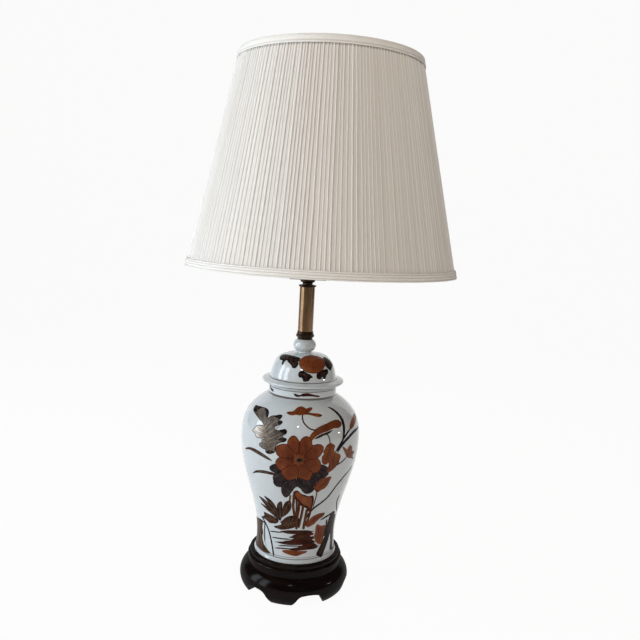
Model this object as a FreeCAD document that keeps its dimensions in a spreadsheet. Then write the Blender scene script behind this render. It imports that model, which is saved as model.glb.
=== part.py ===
import FreeCAD, Part
import math
import os
import re
import Sketcher

# Table lamp: a covered porcelain jar on a turned and carved wooden stand, a brass neck, a socket with
# its bulb, a wire harp, and a pleated empire shade held down by a finial.
# Millimetres. +Z is up, the floor is z = 0 and the front is -Y. The lamp is built about its pipe, at
# x = y = 0, and written with the origin under the middle of its shade, which the harp leans towards.

SIZES = [
    # wooden stand: a turned ring whose skirt is cut into bracket feet, and the deck let into it
    ("stand_height", 66.0),
    ("stand_foot_radius", 87.5),
    ("stand_belly_radius", 96.0),
    ("stand_belly_level", 22.0),
    ("stand_waist_radius", 84.5),
    ("stand_waist_level", 43.5),
    ("stand_collar_radius", 82.8),
    ("stand_collar_level", 56.0),
    ("stand_rim_radius", 79.4),
    ("stand_rim_rounding", 2.4),
    ("stand_waist_groove", 1.5),
    ("stand_bead_height", 2.4),
    ("stand_hollow_radius", 74.0),
    ("deck_thickness", 12.0),
    ("deck_clearance", 0.1),
    ("seat_depth", 4.0),
    ("seat_clearance", 0.6),
    ("foot_count", 6),
    ("foot_turn", -12.0),
    ("arch_half_width", 27.6),
    ("arch_height", 21.0),
    ("arch_shoulder", 13.0),
    ("arch_hip_outset", 1.0),
    ("arch_hip_share", 0.62),
    ("arch_corner_inset", 0.4),
    ("arch_corner_rise", 1.2),
    ("arch_crown_rise", 1.2),
    ("arch_cutter_margin", 5.0),
    # cord inlet at the back of the stand
    ("inlet_level", 32.0),
    ("inlet_bore_radius", 4.0),
    ("inlet_sleeve_radius", 5.8),
    ("inlet_flange_radius", 8.0),
    ("inlet_flange_thickness", 2.5),
    ("inlet_seat_depth", 5.0),
    ("inlet_clearance", 0.1),
    # threaded pipe and what clamps it under the deck
    ("pipe_radius", 4.85),
    ("pipe_bore_radius", 3.4),
    ("pipe_clearance", 0.4),
    ("thread_clearance", 0.05),
    ("pipe_tail", 4.0),
    ("washer_radius", 19.0),
    ("washer_thickness", 1.8),
    ("lock_washer_radius", 8.6),
    ("lock_washer_thickness", 1.2),
    ("lock_washer_slit", 1.5),
    ("nut_radius", 9.0),
    ("nut_height", 5.0),
    # porcelain jar
    ("jar_height", 306.0),
    ("jar_wall", 6.0),
    ("jar_foot_radius", 72.1),
    ("jar_foot_height", 4.6),
    ("jar_foot_recess", 3.0),
    ("jar_foot_ring", 9.0),
    ("jar_floor", 9.0),
    ("jar_ankle_radius", 70.0),
    ("jar_ankle_share", 0.0229),
    ("jar_waist_radius", 68.3),
    ("jar_waist_share", 0.108),
    ("jar_swell_radius", 79.6),
    ("jar_swell_share", 0.327),
    ("jar_flank_radius", 97.2),
    ("jar_flank_share", 0.533),
    ("jar_belly_radius", 102.9),
    ("jar_belly_share", 0.68),
    ("jar_shoulder_radius", 94.4),
    ("jar_shoulder_share", 0.825),
    ("jar_brow_radius", 77.5),
    ("jar_brow_share", 0.8905),
    ("jar_neck_radius", 58.5),
    ("jar_neck_share", 0.9314),
    # porcelain lid
    ("lid_height", 50.0),
    ("lid_wall", 5.0),
    ("lid_flange_radius", 70.4),
    ("lid_flange_thickness", 4.6),
    ("lid_edge_rounding", 1.5),
    ("lid_step_radius", 59.3),
    ("lid_step_level", 7.4),
    ("lid_dome_radius", 56.8),
    ("lid_dome_level", 9.4),
    ("lid_side_radius", 51.2),
    ("lid_side_level", 30.0),
    ("lid_shoulder_radius", 44.6),
    ("lid_shoulder_level", 40.0),
    ("lid_crown_radius", 31.0),
    ("lid_crown_level", 47.0),
    ("register_depth", 8.0),
    ("register_clearance", 0.6),
    # porcelain ball on the lid
    ("ball_radius", 19.7),
    ("ball_height", 23.0),
    ("ball_foot_radius", 12.3),
    ("ball_foot_height", 2.4),
    ("ball_widest_level", 13.0),
    ("ball_top_radius", 13.4),
    # brass neck: moulded ring, tube, check ring and flared cup
    ("ring_height", 14.0),
    ("ring_foot_radius", 12.9),
    ("ring_foot_height", 2.2),
    ("ring_widest_radius", 15.7),
    ("ring_band_level", 5.3),
    ("ring_band_height", 2.0),
    ("ring_cone_radius", 14.3),
    ("ring_cone_height", 1.8),
    ("ring_top_radius", 13.5),
    ("tube_radius", 13.0),
    ("tube_wall", 1.0),
    ("tube_length", 76.0),
    ("spigot_clearance", 0.1),
    ("spigot_length", 4.0),
    ("collar_radius", 15.0),
    ("collar_height", 3.5),
    ("collar_lip", 1.2),
    ("cup_height", 8.5),
    ("cup_stem_radius", 8.6),
    ("cup_stem_height", 3.4),
    ("cup_radius", 12.5),
    ("cup_flare_height", 2.4),
    # harp saddle: a bent strip with a prong at each end
    ("saddle_thickness", 2.0),
    ("saddle_width", 9.0),
    ("saddle_half_span", 30.0),
    ("saddle_rise", 14.0),
    ("saddle_hub_radius", 12.0),
    ("prong_length", 6.0),
    # harp: one bent wire, two sleeves that lock it to the prongs, a stud on top
    ("harp_height", 330.2),
    ("harp_half_width", 57.0),
    ("harp_lean", 20.9),
    ("harp_wire_radius", 1.6),
    ("harp_foot_run", 28.0),
    ("harp_flare_run", 60.0),
    ("harp_shoulder_drop", 88.0),
    ("harp_crown_half_width", 16.0),
    ("harp_bend_radius", 22.0),
    ("harp_crown_bend_radius", 8.0),
    ("ferrule_length", 14.0),
    ("ferrule_wall", 1.0),
    ("ferrule_clearance", 0.25),
    ("stud_block_radius", 7.0),
    ("stud_block_height", 7.0),
    ("stud_disc_radius", 10.0),
    ("stud_disc_thickness", 2.0),
    ("stud_radius", 3.18),
    ("stud_length", 17.0),
    # socket
    ("cap_hub_radius", 8.0),
    ("cap_hub_height", 4.0),
    ("cap_radius", 19.0),
    ("cap_wall", 0.8),
    ("cap_cone_level", 11.0),
    ("cap_height", 18.0),
    ("cap_floor", 6.0),
    ("set_screw_radius", 1.4),
    ("set_screw_length", 5.5),
    ("shell_clearance", 0.1),
    ("shell_wall", 0.6),
    ("shell_start", 12.0),
    ("shell_height", 55.0),
    ("liner_clearance", 0.15),
    ("liner_wall", 0.5),
    ("liner_start", 14.0),
    ("liner_height", 50.0),
    ("block_radius", 15.2),
    ("block_foot_radius", 9.0),
    ("block_bore_radius", 5.5),
    ("block_underside", 12.5),
    ("block_top", 32.0),
    ("block_boss_radius", 12.5),
    ("block_boss_top", 35.0),
    ("contact_hole_radius", 3.0),
    ("contact_stem_radius", 2.9),
    ("contact_stem_length", 5.0),
    ("contact_head_radius", 4.2),
    ("contact_head_height", 2.5),
    ("screw_shell_wall", 0.5),
    ("screw_shell_height", 26.0),
    ("screw_shell_hole", 5.0),
    ("terminal_level", 22.0),
    ("terminal_head_radius", 2.6),
    ("terminal_head_height", 1.3),
    ("terminal_shank_radius", 1.25),
    ("terminal_shank_length", 4.0),
    # switch
    ("switch_level", 27.0),
    ("switch_shaft_radius", 1.6),
    ("switch_shaft_start", 7.0),
    ("switch_shaft_length", 21.0),
    ("switch_running_clearance", 0.05),
    ("switch_port_radius", 2.6),
    ("knob_radius", 5.6),
    ("knob_stem_radius", 3.4),
    ("knob_stem_length", 3.0),
    ("knob_shoulder_length", 1.0),
    ("knob_end_bevel", 1.5),
    ("knob_length", 13.0),
    ("knob_start", 20.5),
    ("knob_grip", 7.5),
    # bulb
    ("bulb_gap", 0.3),
    ("bulb_base_clearance", 0.4),
    ("bulb_base_radius", 13.1),
    ("bulb_base_wall", 0.5),
    ("bulb_base_start", 3.5),
    ("bulb_base_height", 22.5),
    ("bulb_tip_radius", 4.5),
    ("bulb_glass_start", 20.0),
    ("bulb_neck_radius", 12.2),
    ("bulb_ball_radius", 30.0),
    ("bulb_ball_level", 75.0),
    ("bulb_shoulder_angle", -28.0),
    ("bulb_crown_angle", 35.0),
    ("bulb_throat_share", 0.3),
    ("bulb_bend_out_share", 0.38),
    ("bulb_bend_up_share", 0.62),
    ("bulb_glass_wall", 0.7),
    ("bulb_stem_radius", 4.5),
    ("bulb_stem_height", 32.0),
    ("filament_wire_radius", 0.5),
    ("filament_half_span", 9.0),
    ("filament_level", 76.0),
    # shade
    ("shade_top_radius", 152.4),
    ("shade_bottom_radius", 228.6),
    ("shade_height", 347.5),
    ("shade_recess", 33.0),
    ("trim_height", 13.0),
    ("trim_thickness", 2.0),
    ("pleat_depth", 3.6),
    ("lining_thickness", 0.8),
    ("layer_gap", 0.1),
    ("shade_wire_radius", 2.0),
    ("shade_wire_gap", 0.3),
    ("shade_wire_inset", 4.0),
    ("shade_hub_radius", 14.0),
    ("shade_hub_thickness", 5.0),
    ("shade_hub_clearance", 0.2),
    ("arm_count", 3),
    ("arm_turn", 30.0),
    ("arm_wire_radius", 1.5),
    ("arm_grip", 4.0),
    ("arm_hub_run", 16.0),
    ("arm_ring_run", 14.0),
    ("arm_bend_radius", 12.0),
    # finial
    ("finial_washer_radius", 6.5),
    ("finial_washer_thickness", 1.0),
    ("finial_base_radius", 7.2),
    ("finial_base_height", 2.2),
    ("finial_neck_radius", 5.0),
    ("finial_groove_width", 0.5),
    ("finial_groove_height", 0.6),
    ("finial_ball_radius", 9.4),
    ("finial_ball_level", 14.0),
    ("finial_ball_half_height", 10.6),
    ("finial_tip_radius", 3.4),
    ("finial_height", 31.0),
    ("finial_thread_depth", 13.0),
    ("finial_clearance", 0.1),
]

# Heights of the stack, each the one below plus what lies between.
DECK = "stand_height - seat_depth - deck_thickness"
WASHER = DECK + " - washer_thickness"
LOCK_WASHER = WASHER + " - lock_washer_thickness"
NUT = LOCK_WASHER + " - nut_height"
PIPE = NUT + " - pipe_tail"
JAR = "stand_height - seat_depth"
LID = JAR + " + jar_height"
BALL = LID + " + lid_height"
RING = BALL + " + ball_height"
TUBE = RING + " + ring_height"
COLLAR = TUBE + " + tube_length"
CUP = COLLAR + " + collar_height"
SADDLE = CUP + " + cup_height"
SOCKET = SADDLE + " + saddle_thickness"
FERRULE = SADDLE + " + saddle_rise"
HARP = FERRULE + " + prong_length"
BULB = SOCKET + " + block_boss_top + contact_head_height + bulb_gap"
SHADE_SEAT = SOCKET + " + harp_height"
FINIAL_WASHER = SHADE_SEAT + " + shade_hub_thickness"
FINIAL = FINIAL_WASHER + " + finial_washer_thickness"
SHADE_TOP = SHADE_SEAT + " + shade_recess"
SHADE = SHADE_TOP + " - shade_height"

# How far the shade's side comes in for each millimetre of height.
SHADE_SLOPE = "(shade_bottom_radius - shade_top_radius) / shade_height"

doc = FreeCAD.newDocument("CoveredJarLamp")
sheet = doc.addObject("Spreadsheet::Sheet", "Sizes")
parts = []


def fill_sheet():
    """Write each driving dimension into the sheet under its alias."""
    for row, (alias, value) in enumerate(SIZES, 1):
        sheet.set(f"A{row}", alias)
        sheet.set(f"B{row}", str(value))
        sheet.setAlias(f"B{row}", alias)
    doc.recompute()


def bound(text):
    """A formula of size names as an expression on the sheet."""
    return re.sub(r"\b([a-z]\w*)\b(?!\()", r"Sizes.\1", text)


def value(text):
    """The number that a formula of size names gives."""
    return float(sheet.evalExpression(bound(text)))


def keep(item, name, level="", across=""):
    """Label a finished sub-part and stand it at its level on the axis."""
    item.Label = name
    if level:
        item.setExpression("Placement.Base.z", bound(level))
    if across:
        item.setExpression("Placement.Base.x", bound(across))
    parts.append(item)
    return item


def pin_corner(sketch, line, axis, text):
    """Tie a corner of an outline to its size, or to the axis itself where the size is zero."""
    if text == "0":
        axis_line = -2 if axis == "DistanceX" else -1
        sketch.addConstraint(Sketcher.Constraint("PointOnObject", line, 1, axis_line))
        return
    number = sketch.addConstraint(Sketcher.Constraint(axis, -1, 1, line, 1, value(text)))
    sketch.setExpression(f"Constraints[{number}]", bound(text))


def turned_body(name, outline):
    """A body turned about Z from a closed outline of (radius, height) formulas."""
    body = doc.addObject("PartDesign::Body", name)
    sketch = body.newObject("Sketcher::SketchObject", name + "_outline")
    plane = next(f for f in body.Origin.OriginFeatures if f.Role == "XZ_Plane")
    sketch.AttachmentSupport = [(plane, "")]
    sketch.MapMode = "FlatFace"
    corners = [FreeCAD.Vector(value(r), value(z), 0) for r, z in outline]
    count = len(corners)
    for i in range(count):
        sketch.addGeometry(Part.LineSegment(corners[i], corners[(i + 1) % count]))
    for i in range(count):
        sketch.addConstraint(Sketcher.Constraint("Coincident", i, 2, (i + 1) % count, 1))
    for i, (radius, height) in enumerate(outline):
        pin_corner(sketch, i, "DistanceX", radius)
        pin_corner(sketch, i, "DistanceY", height)
    turning = body.newObject("PartDesign::Revolution", name + "_turning")
    turning.Profile = sketch
    turning.ReferenceAxis = (sketch, ["V_Axis"])
    turning.Angle = 360
    return body


def turned(name, level, outline, across=""):
    """A finished sub-part turned about Z."""
    return keep(turned_body(name, outline), name, level, across)


def tube_outline(outer, inner, height):
    """The outline of a plain tube or washer."""
    return [(inner, "0"), (outer, "0"), (outer, height), (inner, height)]


def rod(name, radius, length, start="0", side="x", turn=0.0, level="0"):
    """A cylinder along a side direction, used as a pin or as a drill."""
    cylinder = doc.addObject("Part::Cylinder", name)
    cylinder.setExpression("Radius", bound(radius))
    cylinder.setExpression("Height", bound(length))
    across = FreeCAD.Vector(1, 0, 0) if side == "x" else FreeCAD.Vector(0, -1, 0)
    across = FreeCAD.Rotation(FreeCAD.Vector(0, 0, 1), turn).multVec(across)
    base = across * value(start) + FreeCAD.Vector(0, 0, value(level))
    cylinder.Placement = FreeCAD.Placement(base, FreeCAD.Rotation(FreeCAD.Vector(0, 0, 1), across))
    return cylinder


def cylinder_up(name, radius, height, level="0", across="0"):
    """An upright cylinder bound to the sheet."""
    cylinder = doc.addObject("Part::Cylinder", name)
    cylinder.setExpression("Radius", bound(radius))
    cylinder.setExpression("Height", bound(height))
    cylinder.setExpression("Placement.Base.z", bound(level))
    cylinder.setExpression("Placement.Base.x", bound(across))
    return cylinder


def cut(name, base, tools):
    """The base with each tool taken away."""
    result = base
    for number, tool in enumerate(tools, 1):
        step = doc.addObject("Part::Cut", f"{name}_cut_{number}")
        step.Base = result
        step.Tool = tool
        result = step
    return result


def fused(name, pieces):
    """Several overlapping pieces as one solid."""
    joined = doc.addObject("Part::MultiFuse", name + "_joined")
    joined.Shapes = pieces
    return joined


def edge_through(points):
    """A line, an arc or a smooth curve, after the number of (radius, height) points."""
    places = [FreeCAD.Vector(r, 0, z) for r, z in points]
    if len(places) == 2:
        return Part.LineSegment(*places).toShape()
    if len(places) == 3:
        return Part.Arc(*places).toShape()
    curve = Part.BSplineCurve()
    curve.interpolate(places)
    return curve.toShape()


def revolved(spans):
    """The solid turned about Z from spans that follow one another and close."""
    wire = Part.Wire([edge_through(span) for span in spans])
    return Part.Face(wire).revolve(FreeCAD.Vector(), FreeCAD.Vector(0, 0, 1), 360)


def shaped(name, shape, level="", across=""):
    """A finished sub-part with a given shape."""
    item = doc.addObject("Part::Feature", name)
    item.Shape = shape
    return keep(item, name, level, across)


def inside(points, wall):
    """Points of a curved wall's inner side, square to its outer side."""
    curve = Part.BSplineCurve()
    curve.interpolate([FreeCAD.Vector(r, 0, z) for r, z in points])
    inner = []
    for r, z in points:
        run = curve.tangent(curve.parameter(FreeCAD.Vector(r, 0, z)))[0]
        inner.append((r - wall * run.z, z + wall * run.x))
    return inner


def bent_wire(points, bends, radius):
    """A round wire along straight runs joined by tangent arcs, one bend radius for each inner point."""
    edges = []
    start = points[0]
    for i in range(1, len(points) - 1):
        back = (points[i - 1] - points[i]).normalize()
        ahead = (points[i + 1] - points[i]).normalize()
        half_angle = back.getAngle(ahead) / 2
        reach = bends[i - 1] / math.tan(half_angle)
        first = points[i] + back * reach
        last = points[i] + ahead * reach
        bisector = (back + ahead).normalize()
        middle = points[i] + bisector * (bends[i - 1] / math.sin(half_angle) - bends[i - 1])
        edges.append(Part.LineSegment(start, first).toShape())
        edges.append(Part.Arc(first, middle, last).toShape())
        start = last
    edges.append(Part.LineSegment(start, points[-1]).toShape())
    path = Part.Wire(edges)
    section = Part.Wire(Part.Circle(points[0], points[1] - points[0], radius).toShape())
    return path.makePipeShell([section], True, False)


def around(azimuth, radius, height):
    """A place at an azimuth counted from the front towards +X."""
    angle = math.radians(azimuth)
    return FreeCAD.Vector(radius * math.sin(angle), -radius * math.cos(angle), height)


def inlet_azimuth():
    """The arch that is nearest the back, where the cord inlet is."""
    return value("foot_turn") + 360 / value("foot_count") * (value("foot_count") // 2 + 0.5)


def arch_cutter(azimuth):
    """The opening between two bracket feet: sloping sides, round shoulders and a slightly domed top."""
    half = value("arch_half_width")
    top = value("arch_height")
    shoulder = value("arch_shoulder")
    hip = (half + shoulder) / 2 + value("arch_hip_outset")
    rise = top * value("arch_hip_share")
    eave = top - value("arch_crown_rise")
    corner = (hip + shoulder) / 2 - value("arch_corner_inset")
    corner_top = (rise + top) / 2 + value("arch_corner_rise")
    margin = value("arch_cutter_margin")
    near = math.sqrt(value("stand_hollow_radius") ** 2 - half ** 2) - margin
    far = value("stand_belly_radius") + margin
    below = -margin
    side = [(half, 0), (hip, rise)]
    turn_in = [(hip, rise), (corner, corner_top), (shoulder, eave)]
    crown = [(shoulder, eave), (0, top), (-shoulder, eave)]
    spans = [[(half, below), (half, 0)], side, turn_in, crown]
    spans += [[(-x, z) for x, z in reversed(span)] for span in (turn_in, side)]
    spans += [[(-half, 0), (-half, below)], [(-half, below), (half, below)]]
    face = Part.Face(Part.Wire([edge_through(span) for span in spans]))
    cutter = face.extrude(FreeCAD.Vector(0, far - near, 0))
    cutter.translate(FreeCAD.Vector(0, -far, 0))
    cutter.rotate(FreeCAD.Vector(), FreeCAD.Vector(0, 0, 1), azimuth)
    return cutter


def inlet_drill(radius, start, length):
    """A cylinder that points outwards at the cord inlet."""
    azimuth = inlet_azimuth()
    place = around(azimuth, start, value("inlet_level"))
    return Part.makeCylinder(radius, length, place, around(azimuth, 1, 0))


def make_stand():
    """The stand's ring: bulging skirt, flat collar with a bead, and a rounded rim about the jar's foot."""
    top = value("stand_height")
    rim = value("stand_rim_radius")
    rounding = value("stand_rim_rounding")
    collar = value("stand_collar_radius")
    collar_top = value("stand_collar_level")
    bead_width = collar - rim
    bead_height = value("stand_bead_height")
    groove = value("stand_waist_groove")
    slant = math.sqrt(0.5)
    waist = (value("stand_waist_radius"), value("stand_waist_level"))
    foot = (value("stand_foot_radius"), 0)
    belly = (value("stand_belly_radius"), value("stand_belly_level"))
    seat = value("jar_foot_radius + seat_clearance")
    jar_level = value(JAR)
    hollow = value("stand_hollow_radius")
    eased = rounding * (1 - slant)
    bead_middle = (rim + bead_width * slant, collar_top + bead_height * slant)
    spans = [
        [foot, belly, waist],
        [waist, (collar, waist[1] + groove)],
        [(collar, waist[1] + groove), (collar, collar_top)],
        [(collar, collar_top), bead_middle, (rim, collar_top + bead_height)],
        [(rim, collar_top + bead_height), (rim, top - rounding)],
        [(rim, top - rounding), (rim - eased, top - eased), (rim - rounding, top)],
        [(rim - rounding, top), (seat, top)],
        [(seat, top), (seat, jar_level)],
        [(seat, jar_level), (hollow, jar_level)],
        [(hollow, jar_level), (hollow, 0)],
        [(hollow, 0), foot],
    ]
    shape = revolved(spans)
    pitch = 360 / value("foot_count")
    for i in range(int(value("foot_count"))):
        shape = shape.cut(arch_cutter(value("foot_turn") + pitch * (i + 0.5)))
    flange = value("inlet_flange_radius + inlet_clearance")
    sleeve = value("inlet_sleeve_radius + inlet_clearance")
    flat = value("stand_belly_radius - inlet_seat_depth")
    shape = shape.cut(inlet_drill(flange, flat, value("stand_belly_radius")))
    shape = shape.cut(inlet_drill(sleeve, hollow / 2, value("stand_belly_radius")))
    shaped("stand", shape.removeSplitter())


def make_deck():
    """The stand's deck: a board glued up under the rim, which carries the jar and is clamped by the pipe."""
    deck_radius = "stand_hollow_radius - deck_clearance"
    turned("stand_deck", DECK, tube_outline(deck_radius, "pipe_radius + pipe_clearance", "deck_thickness"))


def make_inlet():
    """The cord bushing: a sleeve through the skirt with a flange on the flat outside."""
    flange_start = "stand_belly_radius - inlet_seat_depth - stand_hollow_radius"
    sleeve = flange_start + " + inlet_flange_thickness"
    outline = [
        ("inlet_bore_radius", "0"),
        ("inlet_sleeve_radius", "0"),
        ("inlet_sleeve_radius", flange_start),
        ("inlet_flange_radius", flange_start),
        ("inlet_flange_radius", sleeve),
        ("inlet_bore_radius", sleeve),
    ]
    bushing = turned("cord_bushing", "", outline)
    azimuth = inlet_azimuth()
    place = around(azimuth, value("stand_hollow_radius"), value("inlet_level"))
    outwards = FreeCAD.Rotation(FreeCAD.Vector(0, 0, 1), around(azimuth, 1, 0))
    bushing.Placement = FreeCAD.Placement(place, outwards)


def make_pipe():
    """The threaded pipe from under the deck to the socket, with its washer, lock washer and nut."""
    length = f"({SOCKET} + cap_floor) - ({PIPE})"
    bore = "pipe_radius + thread_clearance"
    turned("lamp_pipe", PIPE, tube_outline("pipe_radius", "pipe_bore_radius", length))
    turned("pipe_washer", WASHER, tube_outline("washer_radius", bore, "washer_thickness"))
    ring = turned_body("lock_washer_ring", tube_outline("lock_washer_radius", bore, "lock_washer_thickness"))
    slit = doc.addObject("Part::Box", "lock_washer_gap")
    slit.setExpression("Length", bound("lock_washer_radius"))
    slit.setExpression("Width", bound("lock_washer_slit"))
    slit.setExpression("Height", bound("lock_washer_thickness"))
    keep(cut("lock_washer", ring, [slit]), "lock_washer", LOCK_WASHER)
    prism = doc.addObject("Part::Prism", "nut_blank")
    prism.Polygon = 6
    prism.setExpression("Circumradius", bound("nut_radius"))
    prism.setExpression("Height", bound("nut_height"))
    hole = cylinder_up("nut_hole", bore, "nut_height")
    keep(cut("pipe_nut", prism, [hole]), "pipe_nut", NUT)


def make_jar():
    """The hollow jar: foot ring, waist, high belly and short upright neck."""
    names = ("ankle", "waist", "swell", "flank", "belly", "shoulder", "brow", "neck")
    outer = [(value(f"jar_{n}_radius"), value(f"jar_{n}_share * jar_height")) for n in names]
    wall = value("jar_wall")
    foot = value("jar_foot_radius")
    foot_top = value("jar_foot_height")
    ring_inside = foot - value("jar_foot_ring")
    recess = value("jar_foot_recess")
    floor = value("jar_floor")
    top = value("jar_height")
    neck = value("jar_neck_radius")
    bore = value("pipe_radius + pipe_clearance")
    inner = [point for point in inside(outer, wall)[1:-1]]
    inner = [(inner[0][0], floor)] + inner + [(neck - wall, outer[-1][1])]
    spans = [
        [(ring_inside, 0), (foot, 0)],
        [(foot, 0), (foot, foot_top)],
        [(foot, foot_top), outer[0]],
        outer,
        [outer[-1], (neck, top)],
        [(neck, top), (neck - wall, top)],
        [(neck - wall, top), inner[-1]],
        inner[::-1],
        [inner[0], (bore, floor)],
        [(bore, floor), (bore, recess)],
        [(bore, recess), (ring_inside, recess)],
        [(ring_inside, recess), (ring_inside, 0)],
    ]
    shaped("jar", revolved(spans), JAR)


def make_lid():
    """The lid: round-edged flange, dome, and a register ring that drops into the jar's neck."""
    wall = value("lid_wall")
    flange = value("lid_flange_radius")
    thick = value("lid_flange_thickness")
    height = value("lid_height")
    foot = value("ball_foot_radius")
    names = ("dome", "side", "shoulder", "crown")
    dome = [(value(f"lid_{n}_radius"), value(f"lid_{n}_level")) for n in names] + [(foot, height)]
    step = (value("lid_step_radius"), value("lid_step_level"))
    register = value("jar_neck_radius - jar_wall - register_clearance")
    depth = value("register_depth")
    bore = value("pipe_radius + pipe_clearance")
    inner = [(register - wall, dome[0][1])] + inside(dome, wall)[1:-1] + [(bore, height - wall)]
    edge = flange - value("lid_edge_rounding")
    spans = [
        [(register - wall, -depth), (register, -depth)],
        [(register, -depth), (register, 0)],
        [(register, 0), (edge, 0)],
        [(edge, 0), (flange, thick / 2), (edge, thick)],
        [(edge, thick), step],
        [step, dome[0]],
        dome,
        [dome[-1], (bore, height)],
        [(bore, height), inner[-1]],
        inner[::-1],
        [inner[0], (register - wall, -depth)],
    ]
    shaped("lid", revolved(spans), LID)


def make_ball():
    """The drilled porcelain ball on its short foot."""
    foot = value("ball_foot_radius")
    foot_top = value("ball_foot_height")
    top = value("ball_height")
    crown = value("ball_top_radius")
    bore = value("pipe_radius + pipe_clearance")
    spans = [
        [(bore, 0), (foot, 0)],
        [(foot, 0), (foot, foot_top)],
        [(foot, foot_top), (value("ball_radius"), value("ball_widest_level")), (crown, top)],
        [(crown, top), (bore, top)],
        [(bore, top), (bore, 0)],
    ]
    shaped("lid_ball", revolved(spans), BALL)


def make_neck():
    """The brass neck: moulded ring, tube held on two spigots, check ring and flared cup."""
    bore = "pipe_radius + pipe_clearance"
    spigot = "tube_radius - tube_wall - spigot_clearance"
    turned("base_ring", RING, [
        (bore, "0"),
        ("ring_foot_radius", "0"),
        ("ring_foot_radius", "ring_foot_height"),
        ("ring_widest_radius", "ring_band_level"),
        ("ring_widest_radius", "ring_band_level + ring_band_height"),
        ("ring_cone_radius", "ring_band_level + ring_band_height + ring_cone_height"),
        ("ring_top_radius", "ring_height"),
        (spigot, "ring_height"),
        (spigot, "ring_height + spigot_length"),
        (bore, "ring_height + spigot_length"),
    ])
    turned("neck_tube", TUBE, tube_outline("tube_radius", "tube_radius - tube_wall", "tube_length"))
    collar = turned_body("collar_outline", [
        (bore, "0"),
        (spigot, "0"),
        (spigot, "spigot_length"),
        ("tube_radius", "spigot_length"),
        ("collar_radius", "spigot_length + collar_lip"),
        ("collar_radius", "spigot_length + collar_height - collar_lip / 2"),
        ("tube_radius", "spigot_length + collar_height"),
        (bore, "spigot_length + collar_height"),
    ])
    keep(collar, "check_ring", COLLAR + " - spigot_length")
    turned("neck_cup", CUP, [
        (bore, "0"),
        ("cup_stem_radius", "0"),
        ("cup_stem_radius", "cup_stem_height"),
        ("cup_radius", "cup_stem_height + cup_flare_height"),
        ("cup_radius", "cup_height"),
        (bore, "cup_height"),
    ])


def make_saddle():
    """The harp saddle: a strip clamped on the pipe, its ends bent up, each with a round prong."""
    bar = doc.addObject("Part::Box", "saddle_bar")
    bar.setExpression("Length", bound("2 * saddle_half_span + saddle_thickness"))
    bar.setExpression("Width", bound("saddle_width"))
    bar.setExpression("Height", bound("saddle_thickness"))
    bar.setExpression("Placement.Base.x", bound("-saddle_half_span - saddle_thickness / 2"))
    bar.setExpression("Placement.Base.y", bound("-saddle_width / 2"))
    pieces = [bar, cylinder_up("saddle_hub", "saddle_hub_radius", "saddle_thickness")]
    for side, sign in (("left", "-"), ("right", "")):
        upright = doc.addObject("Part::Box", f"saddle_{side}_upright")
        upright.setExpression("Length", bound("saddle_thickness"))
        upright.setExpression("Width", bound("saddle_width"))
        upright.setExpression("Height", bound("saddle_rise"))
        upright.setExpression("Placement.Base.x", bound(f"{sign}saddle_half_span - saddle_thickness / 2"))
        upright.setExpression("Placement.Base.y", bound("-saddle_width / 2"))
        prong_height = "saddle_rise + prong_length - saddle_thickness"
        prong = cylinder_up(f"saddle_{side}_prong", "harp_wire_radius", prong_height,
                            "saddle_thickness", f"{sign}saddle_half_span")
        pieces += [upright, prong]
    hole = cylinder_up("saddle_hole", "pipe_radius + pipe_clearance", "saddle_thickness")
    keep(cut("harp_saddle", fused("saddle", pieces), [hole]), "harp_saddle", SADDLE)


def harp_route():
    """The harp's centre line: two straight feet, a wide loop that leans to +X, and a level crown."""
    foot = value("saddle_half_span")
    low = value(HARP)
    bend = low + value("harp_foot_run")
    crown = value(SHADE_SEAT) - value("stud_disc_thickness") - value("stud_block_height") / 2
    wide = value("harp_half_width")
    lower = bend + value("harp_flare_run")
    upper = crown - value("harp_shoulder_drop")
    half = [(foot, low), (foot, bend), (wide, lower), (wide, upper), (value("harp_crown_half_width"), crown)]
    left = [(-x, z) for x, z in half]
    right = list(reversed(half))
    lean = value("harp_lean") / (crown - bend)
    return [FreeCAD.Vector(x + lean * max(z - bend, 0), 0, z) for x, z in left + right]


def make_harp():
    """The harp wire, the two sleeves over its joints and the threaded stud on its crown."""
    bend = value("harp_bend_radius")
    crown = value("harp_crown_bend_radius")
    bends = [bend, bend, bend, crown, crown, bend, bend, bend]
    shaped("harp", bent_wire(harp_route(), bends, value("harp_wire_radius")))
    bore = "harp_wire_radius + ferrule_clearance"
    for side, sign in (("left", "-"), ("right", "")):
        outline = tube_outline(f"{bore} + ferrule_wall", bore, "ferrule_length")
        turned(f"harp_ferrule_{side}", FERRULE, outline, f"{sign}saddle_half_span")
    block = cylinder_up("stud_block", "stud_block_radius", "stud_block_height")
    disc = cylinder_up("stud_disc", "stud_disc_radius", "stud_disc_thickness", "stud_block_height")
    post = cylinder_up("stud_post", "stud_radius", "stud_length + stud_disc_thickness", "stud_block_height")
    passage = rod("stud_passage", "harp_wire_radius + thread_clearance", "2 * stud_block_radius",
                  "-stud_block_radius", "x", 0.0, "stud_block_height / 2")
    stud = cut("harp_stud", fused("stud", [block, disc, post]), [passage])
    keep(stud, "harp_stud", SHADE_SEAT + " - stud_disc_thickness - stud_block_height", "harp_lean")


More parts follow.
